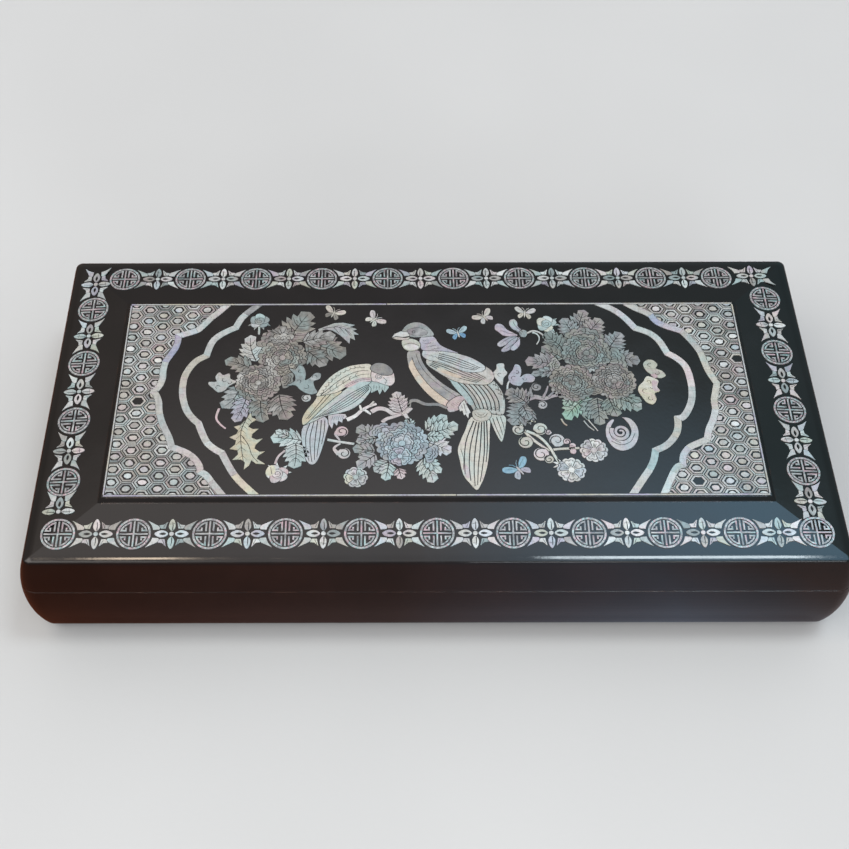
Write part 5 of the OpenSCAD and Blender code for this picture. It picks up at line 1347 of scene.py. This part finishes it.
def brass():
    s = Surface("aged_brass")
    patina = s.noise(180, 5, 0.6)
    colour = s.ramp(patina, [(0.3, rgb(120, 92, 52)), (0.5, rgb(186, 150, 88)), (0.75, rgb(206, 174, 110))])
    brushed = s.noise(1.0, 3, 0.6, s.placed((120, 4000, 4000)))
    return s.shade(
        Base_Color=colour,
        Metallic=1.0,
        Roughness=s.sum(s.scaled(patina, 0.3, 0.7, 0.42, 0.24), s.scaled(brushed, 0.3, 0.7, 0, 0.1)),
        Normal=s.bump(brushed, 0.00003, 0.5),
    )


def velvet():
    s = Surface("red_velvet")
    nap = s.noise(60, 4, 0.6, s.placed((1, 1.8, 1), (0, 0, 25)))
    fibre = s.noise(5200, 2, 0.6)
    colour = s.ramp(nap, [(0.28, rgb(70, 8, 14)), (0.5, rgb(104, 15, 24)), (0.72, rgb(132, 26, 36))])
    colour = s.blend(colour, s.ramp(fibre, [(0.3, rgb(150, 150, 150)), (0.7, rgb(255, 255, 255))]), 1.0,
        "MULTIPLY")
    return s.shade(
        Base_Color=colour,
        Roughness=s.scaled(nap, 0.3, 0.7, 0.95, 0.8),
        Specular_IOR_Level=0.15,
        Sheen_Weight=0.7,
        Sheen_Roughness=0.35,
        Sheen_Tint=rgb(226, 120, 126),
        Normal=s.bump(s.sum(fibre, s.sum(nap, 1.5, "MULTIPLY")), 0.0004, 0.6),
    )


def floor_surface():
    """A pale floor that the box reflects as a darker one: brown to the left and grey to the right."""
    s = Surface("pale_floor")
    pale = s.ramp(s.noise(3.0, 3, 0.5), [(0.3, rgb(206, 206, 206)), (0.7, rgb(216, 216, 216))])
    along = s.new("ShaderNodeSeparateXYZ", {0: s.where}).outputs["X"]
    seen = s.ramp(s.scaled(along, -0.16, 0.16, 0, 1), [(0.0, rgb(112, 60, 40)), (0.45, rgb(122, 102, 100)),
        (0.8, rgb(160, 172, 192)), (1.0, rgb(136, 126, 126))])
    glossy = s.new("ShaderNodeLightPath").outputs["Is Glossy Ray"]
    return s.shade(Base_Color=s.blend(pale, seen, glossy), Roughness=0.9, Specular_IOR_Level=0.1,
        Normal=s.bump(s.noise(400, 2), 0.0004, 0.1))


# ------------------------------------------------------------------ lining


def pad(name, node, body, crown, inset, seed):
    """A thin stuffed pad in the box of its CAD node: crowned, rounded, and drawn in between its corners."""
    lo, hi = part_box(node)
    across, deep = 72, 34
    rng = random.Random(seed)
    waves = [(rng.uniform(2, 5), rng.uniform(2, 5), rng.uniform(0, 6.28), rng.uniform(0.2, 1))
        for _ in range(5)]
    half_x, half_y = (hi.x - lo.x) / 2 - inset, (hi.y - lo.y) / 2 - inset
    cx, cy, thick = (hi.x + lo.x) / 2, (hi.y + lo.y) / 2, hi.z - lo.z
    verts, faces = [], []
    for side in (1, 0):
        for j in range(deep + 1):
            for i in range(across + 1):
                # u and v run from -1 to 1 and are closer together near the rim
                u, v = 2 * i / across - 1, 2 * j / deep - 1
                u, v = math.sin(u * math.pi / 2), math.sin(v * math.pi / 2)
                pull_x = 1 - 0.006 * (1 - v * v)
                pull_y = 1 - 0.010 * (1 - u * u)
                rim = (1 - abs(u) ** 26) ** 0.5 * (1 - abs(v) ** 14) ** 0.5
                swell = 1 - crown * (1 - (1 - u ** 4) * (1 - v ** 4))
                ripple = sum(a * math.sin(p * 3 * u + q * 2 * v + t) for p, q, t, a in waves) / 5
                top = thick * (0.55 + 0.43 * rim * swell + 0.03 * rim * ripple)
                low = thick * (0.55 - 0.53 * rim)
                verts.append((cx + u * half_x * pull_x, cy + v * half_y * pull_y,
                    lo.z + (top if side else low)))
    row, layer = across + 1, (across + 1) * (deep + 1)
    for j in range(deep):
        for i in range(across):
            a = j * row + i
            # the diagonals run to the corners, so no two corners of the rim are joined twice
            if (i < across / 2) == (j < deep / 2):
                halves = ((a, a + 1, a + 1 + row), (a, a + 1 + row, a + row))
            else:
                halves = ((a, a + 1, a + row), (a + 1, a + 1 + row, a + row))
            for half in halves:
                faces += [half, tuple(layer + k for k in half[::-1])]
    border = list(range(across)) + [across + j * row for j in range(deep)]
    border += [deep * row + across - i for i in range(across)] + [(deep - j) * row for j in range(deep)]
    for k, a in enumerate(border):
        b = border[(k + 1) % len(border)]
        faces.append((a, a + layer, b + layer, b))
    mesh = bpy.data.meshes.new(name)
    mesh.from_pydata(verts, [], faces)
    bm = bmesh.new()
    bm.from_mesh(mesh)
    bmesh.ops.remove_doubles(bm, verts=bm.verts, dist=1e-6)
    bmesh.ops.recalc_face_normals(bm, faces=bm.faces)
    bm.to_mesh(mesh)
    bm.free()
    mesh.shade_smooth()
    piece = bpy.data.objects.new(name, mesh)
    scene.collection.objects.link(piece)
    mesh.materials.append(CLOTH)
    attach(piece, body)
    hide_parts(node)
    return piece


# How far the cloth of a lining board gives way, at its faces and at its top
GIVE, GIVE_TOP = 0.00008, 0.00012


def lined_board(name, node, body, seed):
    """A lining board wrapped in cloth: soft rounded edges and faces that aren't quite flat."""
    lo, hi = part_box(node)
    size, middle = hi - lo, (hi + lo) / 2
    slices = 40
    bm = bmesh.new()
    bmesh.ops.create_cube(bm, size=1)
    bmesh.ops.scale(bm, vec=size, verts=bm.verts)
    bmesh.ops.translate(bm, vec=middle, verts=bm.verts)
    long_axis = 0 if size.x > size.y else 1
    bmesh.ops.bevel(bm, geom=list(bm.edges), offset=min(size) * 0.36, segments=4, profile=0.6, affect="EDGES")
    for k in range(1, slices):
        place = lo.copy()
        place[long_axis] = lo[long_axis] + size[long_axis] * k / slices
        normal = Vector((0, 0, 0))
        normal[long_axis] = 1
        bmesh.ops.bisect_plane(bm, geom=list(bm.verts) + list(bm.edges) + list(bm.faces), plane_co=place,
            plane_no=normal)
    rng = random.Random(seed)
    waves = [(rng.uniform(30, 110), rng.uniform(0, 6.28)) for _ in range(4)]
    thin = 1 - long_axis
    for v in bm.verts:
        ripple = sum(math.sin(f * v.co[long_axis] + t) for f, t in waves) / 4
        inward = -1 if v.co[thin] > middle[thin] else 1
        v.co[thin] += inward * GIVE * (1 + ripple)
        v.co.z -= GIVE_TOP * (1 + ripple) if v.co.z > middle.z else 0
    mesh = bpy.data.meshes.new(name)
    bm.to_mesh(mesh)
    bm.free()
    mesh.shade_smooth()
    mesh.materials.append(CLOTH)
    piece = bpy.data.objects.new(name, mesh)
    scene.collection.objects.link(piece)
    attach(piece, body)
    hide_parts(node)
    return piece


# ------------------------------------------------------------------ dressing the frame

LACQUER, BRASS, CLOTH = lacquer(), brass(), velvet()
EDGING = shell_mixed("shell_edging", ("silver", "cream", "silver", "lilac", "silver"), 0.6, 60, 0.03)
FRETS = shell_mixed("shell_frets", ("silver", "grey", "aqua", "silver", "grey", "silver", "pink", "grey",
    "silver"), 0.8, 50, uneven=0.4)


def node_material(name):
    """The material of a CAD node that keeps its own shape."""
    if name.startswith("hinge"):
        return BRASS
    if name.startswith("roundels"):
        return FRETS
    if name == "panel_line":
        return EDGING
    return LACQUER


for name, node in nodes.items():
    node.data.materials.clear()
    node.data.materials.append(node_material(name))

for made, slot_name, stands_for in (
    (bird_left, "shell_pink", "bird_left"),
    (bird_right, "shell_silver", "bird_right"),
    (branch, "shell_pink", "branch"),
    (flowers_left, "shell_cream", "peony_left"),
    (sprays_left, "shell_cream", "leaves_left"),
    (flowers_centre, "shell_aqua", "peony_centre"),
    (flowers_right, "shell_cream", "peony_right"),
    (sprays_right, "shell_aqua", "leaves_right"),
    (buds, "shell_silver", "buds"),
    (butterflies, "shell_pink", "butterflies"),
    (tendrils, "shell_pink", "tendrils"),
    (spiral_shell, "shell_silver", "spiral_shell"),
):
    inlay(made(), "lid", [stands_for])
for end in (-1, 1):
    for made, slot_name in end_ground(end):
        inlay(made, "lid", [made.name])
for made, seat in blossom_rows():
    inlay(made, "lid",
        [made.name], seat)
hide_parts("leaves_centre")

pad("pad_floor", "floor_pad", "base", 0.25, 0.0004, 3)
pad("pad_lid", "lid_pad", "lid", 0.2, 0.0003, 8)
for k, side in enumerate(("front", "back", "left", "right")):
    lined_board("lining_" + side, "liner_" + side, "base", 20 + k)

# ------------------------------------------------------------------ floor, light and camera


def floor():
    mesh = bpy.data.meshes.new("floor")
    reach = 6.0
    mesh.from_pydata([(-reach, -reach, 0), (reach, -reach, 0), (reach, reach, 0), (-reach, reach, 0)], [],
        [(0, 1, 2, 3)])
    mesh.materials.append(floor_surface())
    piece = bpy.data.objects.new("floor", mesh)
    scene.collection.objects.link(piece)


def softbox(name, place, target, size, power, colour):
    """A rectangular lamp at place that faces target."""
    lamp = bpy.data.lights.new(name, "AREA")
    lamp.shape = "RECTANGLE"
    lamp.size, lamp.size_y = size
    lamp.energy = power
    lamp.color = colour
    piece = bpy.data.objects.new(name, lamp)
    scene.collection.objects.link(piece)
    piece.location = place
    piece.rotation_euler = (Vector(target) - Vector(place)).to_track_quat("-Z", "Y").to_euler()


def studio():
    """Even light all round. What the lacquer reflects is dimmer: warm to the left and cool to the right."""
    world = bpy.data.worlds.new("studio")
    scene.world = world
    sky = Nodes(world)
    where = sky.new("ShaderNodeTexCoord").outputs["Generated"]
    axes = sky.new("ShaderNodeSeparateXYZ", {0: where}).outputs

    def gradient(axis, low, high, stops):
        return sky.ramp(sky.scaled(axes[axis], low, high, 0, 1), stops)

    # what lights the box
    even = gradient("X", -0.6, 0.6, [(0, rgb(214, 210, 206)), (1, rgb(220, 224, 230))])
    # what it mirrors: a room that is dim below and bright high up
    hue = gradient("X", -0.4, 0.4, [(0, rgb(255, 240, 228)), (0.5, rgb(248, 246, 248)),
        (1, rgb(232, 246, 255))])
    rise = gradient("Z", 0.0, 1.0, [(0, rgb(130, 130, 130)), (0.62, rgb(136, 136, 136)),
        (0.76, rgb(162, 162, 162)), (0.845, rgb(250, 250, 250)), (1, rgb(226, 226, 226))])
    # a bluish glow overhead, at the right
    overhead = gradient("Z", 0.77, 0.93, [(0, (0, 0, 0, 1)), (0.6, (1, 1, 1, 1))])
    to_right = gradient("X", 0.02, 0.34, [(0, (1, 1, 1, 1)), (1, rgb(222, 255, 255))])
    glow = gradient("X", 0.02, 0.34, [(0, (0, 0, 0, 1)), (0.7, (0.3, 0.72, 1.2, 1)),
        (1, (0.3, 0.7, 1.15, 1))])
    room = sky.blend(sky.blend(hue, to_right, 1.0, "MULTIPLY"), rise, 1.0, "MULTIPLY")
    mirrored = sky.blend(room, sky.blend((0, 0, 0, 1), glow, overhead), 1.0, "ADD")
    glossy = sky.new("ShaderNodeLightPath").outputs["Is Glossy Ray"]
    brighter = sky.vector("SCALE", mirrored, scale=1.35)
    background = sky.nodes["Background"].inputs
    sky.put(background["Color"], sky.blend(even, brighter, glossy))
    sky.put(background["Strength"], 1.0)


# Each lamp's place, the point it faces, its size in metres, its power in watts and its colour
LAMPS = {
    "key": ((-0.9, -0.5, 1.3), (0, 0, 0), (1.2, 1.0), 7.0, (1.0, 0.98, 0.95)),
    "window": ((0.40, 0.0, 1.5), (0.40, 0, 0), (0.38, 0.3), 5.0, (0.84, 0.95, 1.0)),
    "warm_lamp": ((-0.39, 0.0, 1.5), (-0.39, 0, 0), (0.13, 0.22), 1.2, (1.0, 0.8, 0.6)),
    "low_window": ((0.45, -1.6, 0.5), (0, 0, 0), (0.7, 0.5), 5.0, (0.88, 0.95, 1.0)),
}
# The camera, fitted to the photo: its lens in millimetres, place, and right, up and backward directions
LENS, SHIFT_X = 56.21, 0.0406
CAMERA_PLACE = (-0.0165, -0.3151, 0.4637)
CAMERA_AXES = ((1.0, -0.00142, -0.00264), (0.0027, 0.80715, 0.59034), (0.00129, -0.59034, 0.80715))

floor()
studio()
for name, lamp in LAMPS.items():
    softbox(name, *lamp)

camera = bpy.data.objects.new("camera", bpy.data.cameras.new("camera"))
scene.collection.objects.link(camera)
camera.data.sensor_width = 36.0
camera.data.lens = LENS
camera.data.shift_x = SHIFT_X
camera.data.clip_start = 0.01
camera.matrix_world = Matrix.Translation(CAMERA_PLACE) @ Matrix(CAMERA_AXES).transposed().to_4x4()
scene.camera = camera
scene.view_settings.view_transform = "Standard"
